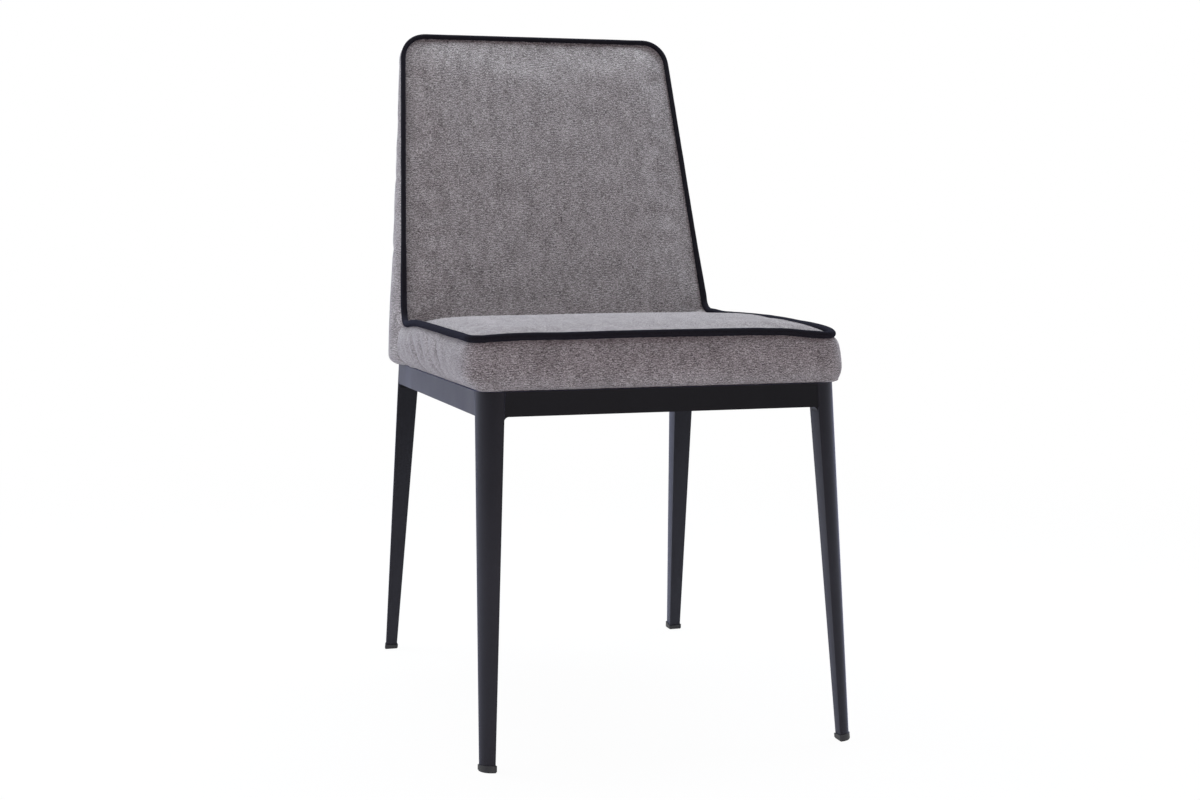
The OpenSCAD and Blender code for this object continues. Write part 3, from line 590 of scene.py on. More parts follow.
@dataclass(frozen=True)
class SpunbondFelt:
    """Polypropylene spunbond under the seat: thin, black and faintly shiny, with a pattern of
    small pressed points."""

    name: str = "spunbond_felt_black"
    dark: str = "#0b0b0c"
    light: str = "#242427"
    point_mm: float = 2.6               # points lie 1.3 mm apart; drawn coarser so they show
    fibre_mm: tuple[float, float, float] = (0.8, 5, 5)

    def build(self) -> bpy.types.Material:
        """Builds the material.

        Returns:
            The finished material.
        """
        surface = Surface(self.name)
        points = add_node(surface.material, "ShaderNodeTexVoronoi",
                          {"feature": "DISTANCE_TO_EDGE", "=Scale": 1.0, "=Randomness": 0.2},
                          {"Vector": surface.place(Space.OBJECT, (self.point_mm,) * 3)})
        fibres = surface.speckle(Space.OBJECT, self.fibre_mm, 4)
        tone = surface.blend([(points.outputs["Distance"], 0.8), (fibres, 0.5)])
        surface.paint(tone, [(0.1, self.dark), (0.9, self.light)], tone, 0.3, 0.8)
        surface.fix({"Roughness": 0.7})
        return surface.material


@dataclass(frozen=True)
class WovenWebbing:
    """Elastic webbing inside the back: black, with a coarse rib across each strap."""

    name: str = "woven_webbing_black"
    dark: str = "#0d0d0e"
    light: str = "#2e2e31"
    rib_mm: tuple[float, float, float] = (1.4, 14, 14)

    def build(self) -> bpy.types.Material:
        """Builds the material.

        Returns:
            The finished material.
        """
        surface = Surface(self.name)
        ribs = surface.speckle(Space.OBJECT, self.rib_mm, 2)
        surface.paint(ribs, [(0.1, self.dark), (0.9, self.light)], ribs, 0.4, 0.9)
        surface.fix({"Roughness": 0.8})
        return surface.material


@dataclass(frozen=True)
class ZincPlate:
    """Bright zinc plate on steel fasteners: grey with a bluish cast and faint blotches."""

    name: str = "zinc_plated_steel"
    dark: str = "#8d9196"
    light: str = "#c3c7cb"
    blotch_mm: float = 5.0
    scratch_mm: tuple[float, float, float] = (0.5, 3, 3)

    def build(self) -> bpy.types.Material:
        """Builds the material.

        Returns:
            The finished material.
        """
        surface = Surface(self.name)
        blotch = surface.speckle(Space.OBJECT, (self.blotch_mm,) * 3, 4)
        scratches = surface.speckle(Space.OBJECT, self.scratch_mm)
        surface.paint(blotch, [(0.1, self.dark), (0.9, self.light)], scratches, 0.03)
        surface.roughen(blotch, 0.28, 0.42)
        surface.fix({"Metallic": 1.0})
        return surface.material


# ------------------------------------------------------------------ the chair's lines
@dataclass(frozen=True)
class ChairLines:
    """The lines that the frame, the cushions and the piping share."""

    total_h: float = 0.870
    frame_front_w: float = 0.434
    frame_rear_w: float = 0.430
    frame_d: float = 0.523
    frame_front_h: float = 0.423
    frame_rear_h: float = 0.417
    seat_edge_h: float = 0.4805         # front piping above the floor
    seat_side_rise: float = 0.005       # how much higher the side piping runs at mid-seat
    seat_front_rise: float = 0.004      # and the front piping at its middle
    seat_front_w: float = 0.442
    seat_side_swell: float = 0.012      # how far the seat's sides swell outwards in plan
    seat_swell_skew: float = 1.4        # 1 swells most halfway, more does it nearer to the back
    seat_front_proud: float = 0.002     # front piping in front of the frame
    seat_corner_r: float = 0.014
    back_root: float = 0.433            # the back's front face at the height of the frame
    recline: float = math.radians(17.1)
    back_low_w: float = 0.432
    back_top_w: float = 0.380
    back_corner_r: float = 0.032
    back_foot_r: float = 0.012
    back_low_d: float = 0.102
    back_top_d: float = 0.032
    back_taper_power: float = 1.3       # 1 thins the back evenly towards its top
    back_rear_round: float = 0.006
    nook_r: float = 0.025               # radius of the piping's turn from the seat to the back
    piping_r: float = 0.0037
    gap: float = 0.0002                 # clearance between pieces that rest on each other
    tuck: float = 0.0006                # cloth sewn in under the piping
    front_reach: float = 0.0343         # front glides in front of the frame
    front_cells: int = 53               # steps of the piping's line, 2 to 4 mm each
    side_cells: int = 103
    rise_cells: int = 87
    crest_cells: int = 41
    turn_cells: int = 11
    corner_cells: int = 12

    @property
    def seam(self) -> float:
        """Distance from the seam to the piping's middle, each way."""
        return (self.piping_r + 2 * self.gap) / math.sqrt(2)

    @property
    def sewn(self) -> float:
        """The same distance to the edge of the cloth, which is sewn in under the piping."""
        return self.seam - self.tuck

    @property
    def crest_z(self) -> float:
        """Height of the middle of the top piping."""
        return self.total_h - self.piping_r

    @property
    def crest_seam(self) -> float:
        """Height of the top piping above its seam on the tilted back."""
        return self.seam * (1 + math.sin(self.recline)) * math.cos(self.recline)

    @property
    def back_foot_z(self) -> float:
        """Height of the foot of the back."""
        return float(self.frame_top(self.back_root)) + self.gap

    @property
    def nook_z(self) -> float:
        """Height of the centre of the piping's turn from seat to back."""
        return self.seat_edge_h + self.nook_r

    @property
    def nook_y(self) -> float:
        """Depth of the centre of the piping's turn from seat to back."""
        return float(self.back_front(self.nook_z)) - self.nook_r / math.cos(self.recline)

    @property
    def origin(self) -> Array:
        """Where the middle of the frame's front face stands in the part's frame, on the floor."""
        return np.array([0, float(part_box("front_left_glide")[0].y) + self.front_reach, 0])

    def place(self, points: Array) -> Array:
        """Moves local points into the part's frame."""
        return points + self.origin

    def frame_top(self, y: Any) -> Any:
        """Height of the frame's top face."""
        return lerp(self.frame_front_h, self.frame_rear_h, y / self.frame_d)

    def frame_half(self, y: Any) -> Any:
        """Half the frame's outer width."""
        return lerp(self.frame_front_w, self.frame_rear_w, y / self.frame_d) / 2

    def back_front(self, z: Any) -> Any:
        """Depth of the plane of the back's front piping."""
        return self.back_root + math.tan(self.recline) * (z - self.frame_rear_h)

    def back_half(self, z: Any) -> Any:
        """Half the width between the piping lines of the back."""
        share = (z - self.seat_edge_h) / (self.crest_z - self.seat_edge_h)
        return lerp(self.back_low_w, self.back_top_w, share) / 2

    def back_rise(self, z: Any) -> Any:
        """Share of the way up the back."""
        return np.clip((z - self.back_foot_z) / (self.crest_z - self.back_foot_z), 0, 1)

    def back_rear(self, z: Any) -> Any:
        """Depth of the back's rear face."""
        left = (1 - self.back_rise(z)) ** self.back_taper_power
        return self.back_front(z) + lerp(self.back_top_d, self.back_low_d, left)

    def past_nook(self, y: Any) -> Any:
        """How far a point lies behind the start of the piping's turn."""
        return np.clip(y - self.nook_y, 0, self.nook_r * math.cos(self.recline))

    def seat_piping_half(self, y: Any) -> Any:
        """Half the width between the side pipings of the seat.

        Args:
            y: depth.

        Returns:
            Half the width at that depth.
        """
        u = np.clip(y / self.nook_y, 0, 1)
        straight = lerp(self.seat_front_w, self.back_low_w, u) / 2
        turn = self.past_nook(y) / (self.nook_r * math.cos(self.recline))
        return (lerp(straight, self.back_half(self.nook_z), turn)
                + self.seat_side_swell * np.sin(math.pi * u ** self.seat_swell_skew))

    def seat_side_z(self, y: Any) -> Any:
        """Height of the side piping of the seat."""
        return self.seat_edge_h + self.seat_side_rise * np.sin(
            math.pi * np.clip(y / self.nook_y, 0, 1))

    def seat_edge_z(self, x: Any, y: Any) -> Any:
        """Height of the seat's edges, carried across the seat; its rear corners curl up.

        Args:
            x: distance to the right of the middle.
            y: depth.

        Returns:
            The height at that place.
        """
        half = self.seat_piping_half(y)
        middle = 1 - np.minimum(1, np.abs(x) / half) ** 2
        r = self.nook_r + self.seam
        curl = r - np.sqrt(r * r - self.past_nook(y) ** 2)
        curl *= np.minimum(1, np.abs(x) / (half - self.seam)) ** 10
        return self.seat_side_z(y) + curl + self.seat_front_rise * middle

    def piping_line(self) -> Array:
        """The middle line of the piping, all round.

        Returns:
            Local points of the closed loop.
        """
        front_y = -self.seat_front_proud
        r = self.seat_corner_r + self.seam
        xc = float(self.seat_piping_half(front_y + r)) - r
        crest_z = self.crest_z
        head_z = crest_z - self.back_corner_r
        xt = float(self.back_half(head_z)) - self.back_corner_r
        front = np.linspace(0, xc, self.front_cells + 1)[:-1]
        corner = arc((xc, front_y + r), r, -RIGHT_ANGLE, 0, self.corner_cells)
        side = np.linspace(front_y + r, self.nook_y, self.side_cells + 1)[1:-1]
        turn = arc((self.nook_y, self.nook_z), self.nook_r, -RIGHT_ANGLE, -self.recline,
                   self.turn_cells)
        rise = np.linspace(turn[-1, 1], head_z, self.rise_cells + 1)[1:-1]
        head = arc((xt, head_z), self.back_corner_r, 0, RIGHT_ANGLE, self.corner_cells)
        crest = np.linspace(xt, 0, self.crest_cells + 1)[1:]
        half = np.vstack([
            np.c_[front, np.full_like(front, front_y), self.seat_edge_z(front, front_y)],
            np.c_[corner, self.seat_side_z(corner[:, 1])],
            np.c_[self.seat_piping_half(side), side, self.seat_side_z(side)],
            np.c_[self.seat_piping_half(turn[:, 0]), turn],
            np.c_[self.back_half(rise), self.back_front(rise), rise],
            np.c_[head[:, 0], self.back_front(head[:, 1]), head[:, 1]],
            np.c_[crest, np.full_like(crest, self.back_front(crest_z)),
                  np.full_like(crest, crest_z)]])
        return np.vstack([half, half[-2:0:-1] * np.array([-1, 1, 1])])


# ------------------------------------------------------------------ cushions
@dataclass(frozen=True)
class HandPull:
    """How the cover was pulled by hand: the seat sits a little to one side of the frame, and
    its corners are not quite level."""

    lines: ChairLines
    aside: float = -0.007               # sideways at the front of the seat
    left_sink: float = -0.0055          # the left rear corner is stapled lower
    right_lift: float = 0.001           # and the right rear corner a little higher
    front_lift: float = 0.0009          # the front edge, apart from its left end
    front_left_lift: float = 0.0023
    front_right_swell: float = 0.0009
    side_lift: float = 0.0013           # the right side, just behind the front corner
    corner_sink: float = 0.0022         # the right front corner is pulled down
    corner_tuck: float = -0.0045        # and in
    corner_square: float = 0.0012       # the foam fills both front corners
    nook_lift: float = 0.0035           # the right side turns up into the back more softly

    def pull(self, points: Array) -> Array:
        """Moves points of the cover.

        Args:
            points: local points.

        Returns:
            The moved points.
        """
        ln = self.lines
        x, y, z = points.T
        floor = ln.frame_top(y)
        height = np.clip((z - floor) / (ln.seat_edge_h - floor), 0, 1)
        off_frame = lerp(beyond(height, 0, 0.3), height ** 2, beyond(x, -0.15, reach=0.3))
        fade = 1 - beyond(z, ln.nook_z, reach=0.07)
        forward = np.clip(1 - y / ln.nook_y, 0, 1) * (1 - beyond(y, ln.nook_y, reach=0.03))
        right_corner = about(y, 0, reach=0.02) * beyond(x, 0.15, reach=0.05)
        from_corner = np.hypot(np.abs(x) - ln.seat_front_w / 2, y)
        square = self.corner_square * about(from_corner, 0, reach=0.016) / math.sqrt(2)
        tilt = np.where(x < 0, self.left_sink, self.right_lift) * beyond(np.abs(x), 0, reach=0.2)
        front = about(np.maximum(y, 0), 0, reach=0.06)
        lift = tilt * beyond(y, 0.26, reach=0.16) * fade
        lift += self.front_lift * front * beyond(x, -0.20, reach=0.08)
        lift += self.front_left_lift * about(y, 0, reach=0.07) * beyond(-x, 0.10, reach=0.08)
        lift += self.front_right_swell * front * about(x, 0.12, reach=0.055)
        lift += self.side_lift * about(y, 0.075, reach=0.05) * beyond(x, 0.15, reach=0.05)
        lift += self.nook_lift * about(y, ln.nook_y, reach=0.026) * beyond(x, 0, reach=0.2) * fade
        lift -= self.corner_sink * right_corner
        aside = self.aside * forward + self.corner_tuck * right_corner + square * np.sign(x)
        return points + np.c_[aside * off_frame, -square * off_frame, lift * height]


@dataclass(frozen=True)
class StuffedCloth:
    """How a stuffed cover is inflated between its seams."""

    pressure: float
    cap: float                      # farthest a point may move
    slack: float = 0.004            # share by which the cloth is cut too large
    last_frame: int = 18

    def add_modifier(self, obj: bpy.types.Object) -> bpy.types.Modifier:
        """Adds the cloth simulation to a cover that has a vertex group named held.

        Args:
            obj: the cover.

        Returns:
            The modifier.
        """
        modifier = obj.modifiers.new("cloth", "CLOTH")
        cloth = modifier.settings
        cloth.quality = 6
        cloth.mass = 0.25
        cloth.air_damping = 2.0
        cloth.tension_stiffness = cloth.compression_stiffness = 18
        cloth.shear_stiffness = 6
        cloth.bending_stiffness = 0.4
        cloth.tension_damping = cloth.compression_damping = 12
        cloth.vertex_group_mass = "held"
        cloth.shrink_min = -self.slack
        cloth.use_pressure = True
        cloth.uniform_pressure_force = self.pressure
        cloth.effector_weights.gravity = 0
        modifier.collision_settings.use_collision = False
        modifier.point_cache.frame_start = 1
        modifier.point_cache.frame_end = self.last_frame
        return modifier

    def inflate(self, obj: bpy.types.Object, held: Array) -> None:
        """Runs the cloth simulation and keeps its result in the mesh.

        Args:
            obj: the cover, with its panels as separate islands.
            held: share of hold for each vertex, 1 where it is sewn or stapled.
        """
        rest = coordinates(obj.data)
        group = obj.vertex_groups.new(name="held")
        for index in np.flatnonzero(held > 0):
            group.add([int(index)], float(held[index]), "REPLACE")
        modifier = self.add_modifier(obj)
        scene = bpy.context.scene
        for number in range(1, self.last_frame + 1):
            scene.frame_set(number)
        stuffed = obj.evaluated_get(bpy.context.evaluated_depsgraph_get())
        step = coordinates(stuffed.to_mesh()) - rest
        stuffed.to_mesh_clear()
        obj.modifiers.remove(modifier)
        scene.frame_set(1)
        length = np.linalg.norm(step, axis=1, keepdims=True)
        limit = self.cap * np.tanh(length / self.cap)
        set_coordinates(obj, rest + step * limit / np.maximum(length, 1e-9))
        obj.vertex_groups.clear()
        log.info("%s: cloth moved up to %.1f mm", obj.name, float(length.max()) / MM)


@dataclass
class Panel:
    """One cut piece of cover fabric as a grid of points."""

    points: Array                   # rows, columns, 3
    threads: Array                  # rows, columns, 3, in millimetres
    held: Array                     # rows, columns
    flip: bool = False

    @staticmethod
    def join(name: str, panels: Sequence["Panel"], pull: HandPull
             ) -> tuple[bpy.types.Object, Array]:
        """Makes one object of several panels.

        Args:
            name: the object's name.
            panels: the panels.
            pull: moves the points as the hand-pulled cover does.

        Returns:
            The object and the hold of each of its vertices.
        """
        faces, first = [], 0
        for panel in panels:
            faces += grid_faces(*panel.held.shape, first, panel.flip)
            first += panel.held.size
        points = np.vstack([panel.points.reshape(-1, 3) for panel in panels])
        threads = np.vstack([panel.threads.reshape(-1, 3) for panel in panels])
        obj = make_object(name, pull.lines.place(pull.pull(points)), faces, threads)
        return obj, np.concatenate([panel.held.ravel() for panel in panels])


@dataclass
class SeatCushion:
    """The stuffed seat: a crowned top panel and a boxed border with a stapled hem."""

    lines: ChairLines
    bulge: float = 0.0102           # how far the boxed sides swell
    rear_bulge: float = 0.35        # share by which they swell more towards the back
    crown: float = 0.0062           # how far the top rises above its piping
    crown_power: int = 16           # a firm seat: it rises steeply from its piping
    valley_power: int = 50          # and dips sharply to its seam
    squareness: int = 12            # corners of the crown, 2 round and more squarer
    rear_flat: float = 0.8          # share of the crown lost where the top meets the back
    rear_sink: float = 0.003        # how far the top dips where it meets the back
    corner_soft: float = 0.010      # the border's front corners are rounder than its seam
    hem_w: float = 0.028
    hem_shares: tuple[float, ...] = (1, 0.6, 0.25)      # rows of the hem, from its edge
    hem_lip: float = 0.002          # the hem's last row, close to the fold
    hem_draw: float = 0.0006        # the fold is drawn in from the frame's face
    hem_roll: float = 0.0024        # the roll just above the fold
    lobe_r: tuple[float, float] = (0.055, 0.026)        # the border turns in where it meets
    lobe_depth: tuple[float, float] = (0.019, 0.010)    # the back, more so at its hem
    pleat_depth: float = 0.0016     # soft pleats down the sides
    pleat_pitch: float = 0.096      # length of two pleats
    pleat_spread: float = 0.2       # share by which they lie closer near the hem
    pleat_sway: float = 1.2         # radians by which they wander
    rim_depth: float = 0.0014       # ridge where the border starts to turn in
    lump: float = 0.0007            # unevenness of the stuffing
    wrinkle: float = 0.0005
    cloth: StuffedCloth = StuffedCloth(pressure=2.0, cap=0.0025)
    border_off_mm: float = 400.0    # keeps the border's threads clear of the top's
    front_cells: int = 80
    corner_cells: int = 8
    side_cells: int = 84
    nook_shares: tuple[float, ...] = (0, 0.25, 0.5, 0.7, 0.85, 0.95, 1)
    border_shares: tuple[float, ...] = (0, 0.02, 0.04, 0.065, 0.1, 0.15, 0.23, 0.31, 0.4, 0.49,
                                        0.58, 0.67, 0.76, 0.85, 0.93)
    bulge_heights: tuple[float, ...] = (0, 0.04, 0.1, 0.18, 0.3, 0.45, 0.6, 0.73, 0.84, 0.93, 1)
    bulge_shares: tuple[float, ...] = (-0.25, 0.15, 0.45, 0.72, 0.94, 1, 1, 0.95, 0.82, 0.56, 0)

    def seat_rear(self, f: float) -> float:
        """Depth of the seat's rear end at a height share."""
        ln = self.lines
        height = lerp(float(ln.frame_top(ln.back_root)), ln.seat_edge_h, f)
        return float(ln.back_front(height)) + ln.sewn - ln.gap

    def half_width(self, y: Any, f: float, outset: float) -> Any:
        """Half the seat's width, with its sides swollen and their rear ends turned in.

        Args:
            y: depth.
            f: height share.
            outset: how far the outline stands out.

        Returns:
            Half the width at that depth.
        """
        ln = self.lines
        rear = self.seat_rear(f)
        lobe_r = lerp(*self.lobe_r, f)
        turned = np.clip((y - (rear - lobe_r)) / lobe_r, 0, 1)
        lobe = lerp(*self.lobe_depth, f) * (1 - np.sqrt(1 - turned ** 2)) * (1 - f ** 8)
        swollen = outset * (1 + self.rear_bulge * beyond(y, 0, reach=rear))
        return lerp(ln.frame_half(y), ln.seat_piping_half(y) - ln.sewn, f) + swollen - lobe

    def outline(self, f: float, outset: float) -> Array:
        """Plan outline from the rear left corner round the front to the rear right.

        Args:
            f: height share, 0 at the frame and 1 at the seam.
            outset: how far the outline stands out.

        Returns:
            Local x and y of each station.
        """
        ln = self.lines
        front_y = lerp(0, ln.sewn - ln.seat_front_proud, f) - outset
        rear_y = self.seat_rear(f)
        nook_y = rear_y - (self.seat_rear(1) - ln.nook_y)
        r = max(0.002, ln.seat_corner_r + outset + self.corner_soft * 4 * f * (1 - f))
        xc = float(self.half_width(front_y + r, f, outset)) - r
        corner = arc((xc, front_y + r), r, -RIGHT_ANGLE, 0, self.corner_cells)[1:]
        side = np.concatenate([np.linspace(front_y + r, nook_y, self.side_cells + 1)[1:-1],
                               lerp(nook_y, rear_y, np.array(self.nook_shares))])
        right = np.vstack([corner, np.c_[self.half_width(side, f, outset), side]])
        front = np.linspace(-xc, xc, self.front_cells + 1)
        return np.vstack([right[::-1] * MIRROR_X, np.c_[front, np.full_like(front, front_y)],
                          right])

    def seam_ring(self) -> Array:
        """The seam under the piping, from the rear left corner to the rear right."""
        plan = self.outline(1, 0)
        return np.c_[plan, self.lines.seat_edge_z(*plan.T) - self.lines.sewn]

    def top_panel(self) -> Panel:
        """The crowned top, as a grid with its rows across the seat.

        Returns:
            The panel.
        """
        ln = self.lines
        right = self.seam_ring()[-(self.corner_cells + self.side_cells + len(self.nook_shares)):]
        u = np.linspace(-1, 1, self.front_cells + 1)
        x = right[:, :1] * u[None, :]
        y = np.repeat(right[:, 1:2], len(u), axis=1)
        along = (y - right[0, 1]) / (right[-1, 1] - right[0, 1])
        share = edge_share(u[None, :], 2 * along - 1, self.squareness)
        rearward = beyond(along, 0.35, reach=0.6)
        puff = self.crown * (1 - share ** self.crown_power) * (1 - self.rear_flat * rearward)
        puff -= ln.seat_front_rise * (1 - u ** 2) * rearward
        puff -= self.rear_sink * (1 - u ** 8) * rearward
        z = ln.seat_edge_z(x, y) - ln.sewn * share ** self.valley_power + puff
        points = np.stack([x, y, z], axis=-1)
        threads = np.stack([x / MM, y / MM, np.zeros_like(x)], axis=-1)
        return Panel(points, threads, edge_hold(*x.shape))

    def border(self) -> Panel:
        """The boxed border from its hem under the board up to the seam.

        Returns:
            The panel.
        """
        ln = self.lines
        rows = []
        plan = self.outline(0, -self.hem_draw)
        centre = np.array([0, ln.back_root / 2])
        reach = np.linalg.norm(plan - centre, axis=1, keepdims=True)
        for inset in (*(share * self.hem_w for share in self.hem_shares), self.hem_lip):
            inner = centre + (plan - centre) * (1 - inset / reach)
            rows.append(np.c_[inner, ln.frame_top(inner[:, 1]) + 3 * ln.gap])
        hem_rows = len(rows)
        for f in self.border_shares:
            outset = self.bulge * float(np.interp(f, self.bulge_heights, self.bulge_shares))
            outset += self.hem_roll * float(about(f, 0.03, reach=0.02))
            level = self.outline(f, outset)
            low = ln.frame_top(level[:, 1]) + 3 * ln.gap
            high = ln.seat_edge_z(*level.T) - ln.sewn
            rows.append(np.c_[level, lerp(low, high, f)])
        rows.append(self.seam_ring())
        points = np.stack(rows)
        middle = points.shape[1] // 2
        along = np.stack([walked(row) - walked(row)[middle] for row in rows])
        up = np.repeat(walked(points[:, middle])[:, None], points.shape[1], axis=1)
        threads = np.stack([along, up, np.full(along.shape, self.border_off_mm)], axis=-1)
        hold = edge_hold(*along.shape)
        hold[:hem_rows + 1] = 1
        return Panel(points, threads, hold)

    def crease(self, obj: bpy.types.Object) -> None:
        """Adds the pleats, the ridges and the lumps of a stuffed cover.

        Args:
            obj: the cushion.
        """
        ln = self.lines
        points = coordinates(obj.data)
        x, y, z = (points - ln.origin).T
        low = ln.frame_top(y)
        up = np.clip((z - low) / (ln.seat_edge_h - low), 0, 1)
        belly = np.sin(math.pi * up) ** 0.7
        on_side = beyond(np.abs(x), 0.208, reach=0.006) * beyond(y, 0, reach=0.03)
        turn = 2 * math.pi * y * (1 + self.pleat_spread * (1 - up)) / self.pleat_pitch
        turn += self.pleat_sway * noise_at(points, 0.06, 4.0)
        pleat = 2 * np.abs(np.sin(turn)) ** 0.8 - 1.2
        step = self.pleat_depth * pleat * on_side * belly * beyond(y, 0.04, reach=0.12)
        turn_in = self.seat_rear(0.5) - 0.8 * lerp(*self.lobe_r, up)
        step += (self.rim_depth * about(y, turn_in, reach=0.007)
                 * beyond(np.abs(x), 0.19, reach=0.01) * belly)
        step += self.wrinkle * noise_at(points, 0.035, 9.0) * belly
        step += self.lump * noise_at(points, 0.11, 2.0) * np.where(up < 1, belly, 1)
        swell(obj, step)

    def build(self, fabric: bpy.types.Material) -> bpy.types.Object:
        """Builds and dresses the cushion.

        Args:
            fabric: the cover's material.

        Returns:
            The cushion.
        """
        obj, held = Panel.join("seat_cushion", [self.top_panel(), self.border()],
                               HandPull(self.lines))
        self.cloth.inflate(obj, held)
        subdivide(obj)
        self.crease(obj)
        dress(obj, fabric)
        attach(obj, "root")
        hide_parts("seat_foam", "seat_top_panel", "seat_border")
        return obj


@dataclass
class BackCushion:
    """The stuffed back: front panel, boxed border all round, and a flat rear panel."""

    lines: ChairLines
    bulge: float = 0.014            # how far the boxed sides swell at the foot
    bulge_top: float = 0.18         # share of that swell left at the top
    crown: float = 0.0065           # how far the front panel rises above its piping
    crown_power: int = 16
    valley_power: int = 70
    squareness: int = 8
    rear_crown: float = 0.0008
    middle_share: float = 0.52      # height of the crown's middle
    lump: float = 0.0007            # unevenness of the stuffing
    wrinkle: float = 0.0003
    foot_hold: float = 0.004        # the border is held this far above the frame
    cloth: StuffedCloth = StuffedCloth(pressure=2.5, cap=0.004)
    width_cells: int = 72
    corner_cells: int = 7
    height_cells: int = 74
    depth_shares: tuple[float, ...] = (0, 0.04, 0.12, 0.22, 0.34, 0.46, 0.58, 0.7, 0.8, 0.88,
                                       0.94, 0.98, 1)
    bulge_depths: tuple[float, ...] = (0, 0.1, 0.35, 0.65, 0.9, 0.97, 1)
    bulge_shares: tuple[float, ...] = (0, 0.5, 1, 0.8, 0.3, 0, 0)
    round_depths: tuple[float, ...] = (0, 0.8, 0.9, 0.97, 1)
    round_shares: tuple[float, ...] = (0, 0, 0.2, 0.5, 1)
    rear_off_mm: float = 800.0      # these keep the threads of the panels and of the seat
    border_off_mm: float = 400.0    # clear of each other
    face_up_mm: float = 900.0
    border_along_mm: float = 1300.0

    def half_outline(self, outset: float, bulge: float) -> Array:
        """Right half of the front-view outline, from the foot to the crest.

        Args:
            outset: how far the outline stands out.
            bulge: extra swell of the sides at the foot.

        Returns:
            Local x and z of each station.
        """
        ln = self.lines
        foot_r = max(0.002, ln.back_foot_r + outset)
        head_r = max(0.004, ln.back_corner_r - ln.sewn + outset)
        foot_z = ln.back_foot_z + max(0.0, -outset - ln.back_rear_round / 5) + foot_r
        head_z = ln.crest_z - ln.crest_seam + ln.tuck + outset - head_r
        side_z = np.linspace(foot_z, head_z, self.height_cells + 1)
        side_x = (ln.back_half(side_z) - ln.sewn + outset
                  + bulge * lerp(1, self.bulge_top, ln.back_rise(side_z)))
        foot = arc((side_x[0] - foot_r, foot_z), foot_r, -RIGHT_ANGLE, 0, self.corner_cells)
        head = arc((side_x[-1] - head_r, head_z), head_r, 0, RIGHT_ANGLE, self.corner_cells)
        return np.vstack([foot, np.c_[side_x, side_z][1:-1], head])

    def settled(self, y: Any, z: Any) -> Any:
        """Lets the foot of the back settle on the sloping frame.

        Args:
            y: depth.
            z: height on a level frame.

        Returns:
            The settled height.
        """
        ln = self.lines
        drop = ln.frame_top(y) - ln.frame_top(ln.back_root)
        fade = 1 - np.clip((z - ln.back_foot_z) / (ln.seat_edge_h - ln.back_foot_z), 0, 1)
        return z + drop * fade

    def face(self, rear: bool) -> Panel:
        """The front or the rear panel, as a grid with its rows across the back.

        Args:
            rear: makes the rear panel.

        Returns:
            The panel.
        """
        ln = self.lines
        right = self.half_outline(-ln.back_rear_round if rear else 0.0, 0.0)
        u = np.linspace(-1, 1, self.width_cells + 1)
        x = right[:, :1] * u[None, :]
        z = np.repeat(right[:, 1:2], len(u), axis=1)
        middle = lerp(ln.back_foot_z, ln.crest_z, self.middle_share)
        reach = np.where(z > middle, right[-1, 1] - middle, middle - right[0, 1])
        share = edge_share(u[None, :], (z - middle) / reach, self.squareness)
        if rear:
            y = ln.back_rear(z) + self.rear_crown * (1 - share ** 3)
        else:
            y = (ln.back_front(z) + ln.sewn * share ** self.valley_power
                 - self.crown * (1 - share ** self.crown_power))
        points = np.stack([x, y, self.settled(y, z)], axis=-1)
        threads = np.stack([x / MM, z / MM + self.face_up_mm,
                            np.full_like(x, self.rear_off_mm if rear else 0.0)], axis=-1)
        return Panel(points, threads, edge_hold(*x.shape), flip=rear)

    def border(self) -> Panel:
        """The boxed border, a closed ring of strips from the front seam to the rear seam.

        Returns:
            The panel.
        """
        ln = self.lines
        swells = self.bulge * np.interp(self.depth_shares, self.bulge_depths, self.bulge_shares)
        outsets = -ln.back_rear_round * np.interp(self.depth_shares, self.round_depths,
                                                  self.round_shares)
        across = np.linspace(-1, 1, self.width_cells + 1)[1:-1]
        rows = []
        for share, outset, swollen in zip(self.depth_shares, outsets, swells):
            right = self.half_outline(float(outset), float(swollen))
            foot = np.c_[across * right[0, 0], np.full_like(across, right[0, 1])]
            head = np.c_[-across * right[-1, 0], np.full_like(across, right[-1, 1])]
            x, z = np.vstack([right, head, right[::-1] * MIRROR_X, foot, right[:1]]).T
            y = lerp(ln.back_front(z) + ln.sewn, ln.back_rear(z), share)
            rows.append(np.c_[x, y, self.settled(y, z)])
        points = np.stack(rows)
        grid = points.shape[:2]
        deep = walked(points[:, len(right) // 2]) + self.border_along_mm
        threads = np.stack([np.repeat(deep[:, None], grid[1], axis=1),
                            np.repeat(walked(points[0])[None, :], grid[0], axis=0),
                            np.full(grid, self.border_off_mm)], axis=-1)
        low = points[..., 2] < ln.frame_rear_h + self.foot_hold
        return Panel(points, threads, np.maximum(edge_hold(*grid), low), flip=True)

    def build(self, fabric: bpy.types.Material) -> bpy.types.Object:
        """Builds and dresses the cushion.

        Args:
            fabric: the cover's material.

        Returns:
            The cushion.
        """
        panels = [self.face(rear=False), self.border(), self.face(rear=True)]
        obj, held = Panel.join("back_cushion", panels, HandPull(self.lines))
        self.cloth.inflate(obj, held)
        subdivide(obj)
        points = coordinates(obj.data)
        swell(obj, self.lump * noise_at(points, 0.12, 5.0)
              + self.wrinkle * noise_at(points, 0.03, 6.0))
        dress(obj, fabric)
        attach(obj, "root")
        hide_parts("back_foam", "back_front_panel", "back_border", "back_rear_panel",
                    "back_rear_wadding")
        return obj


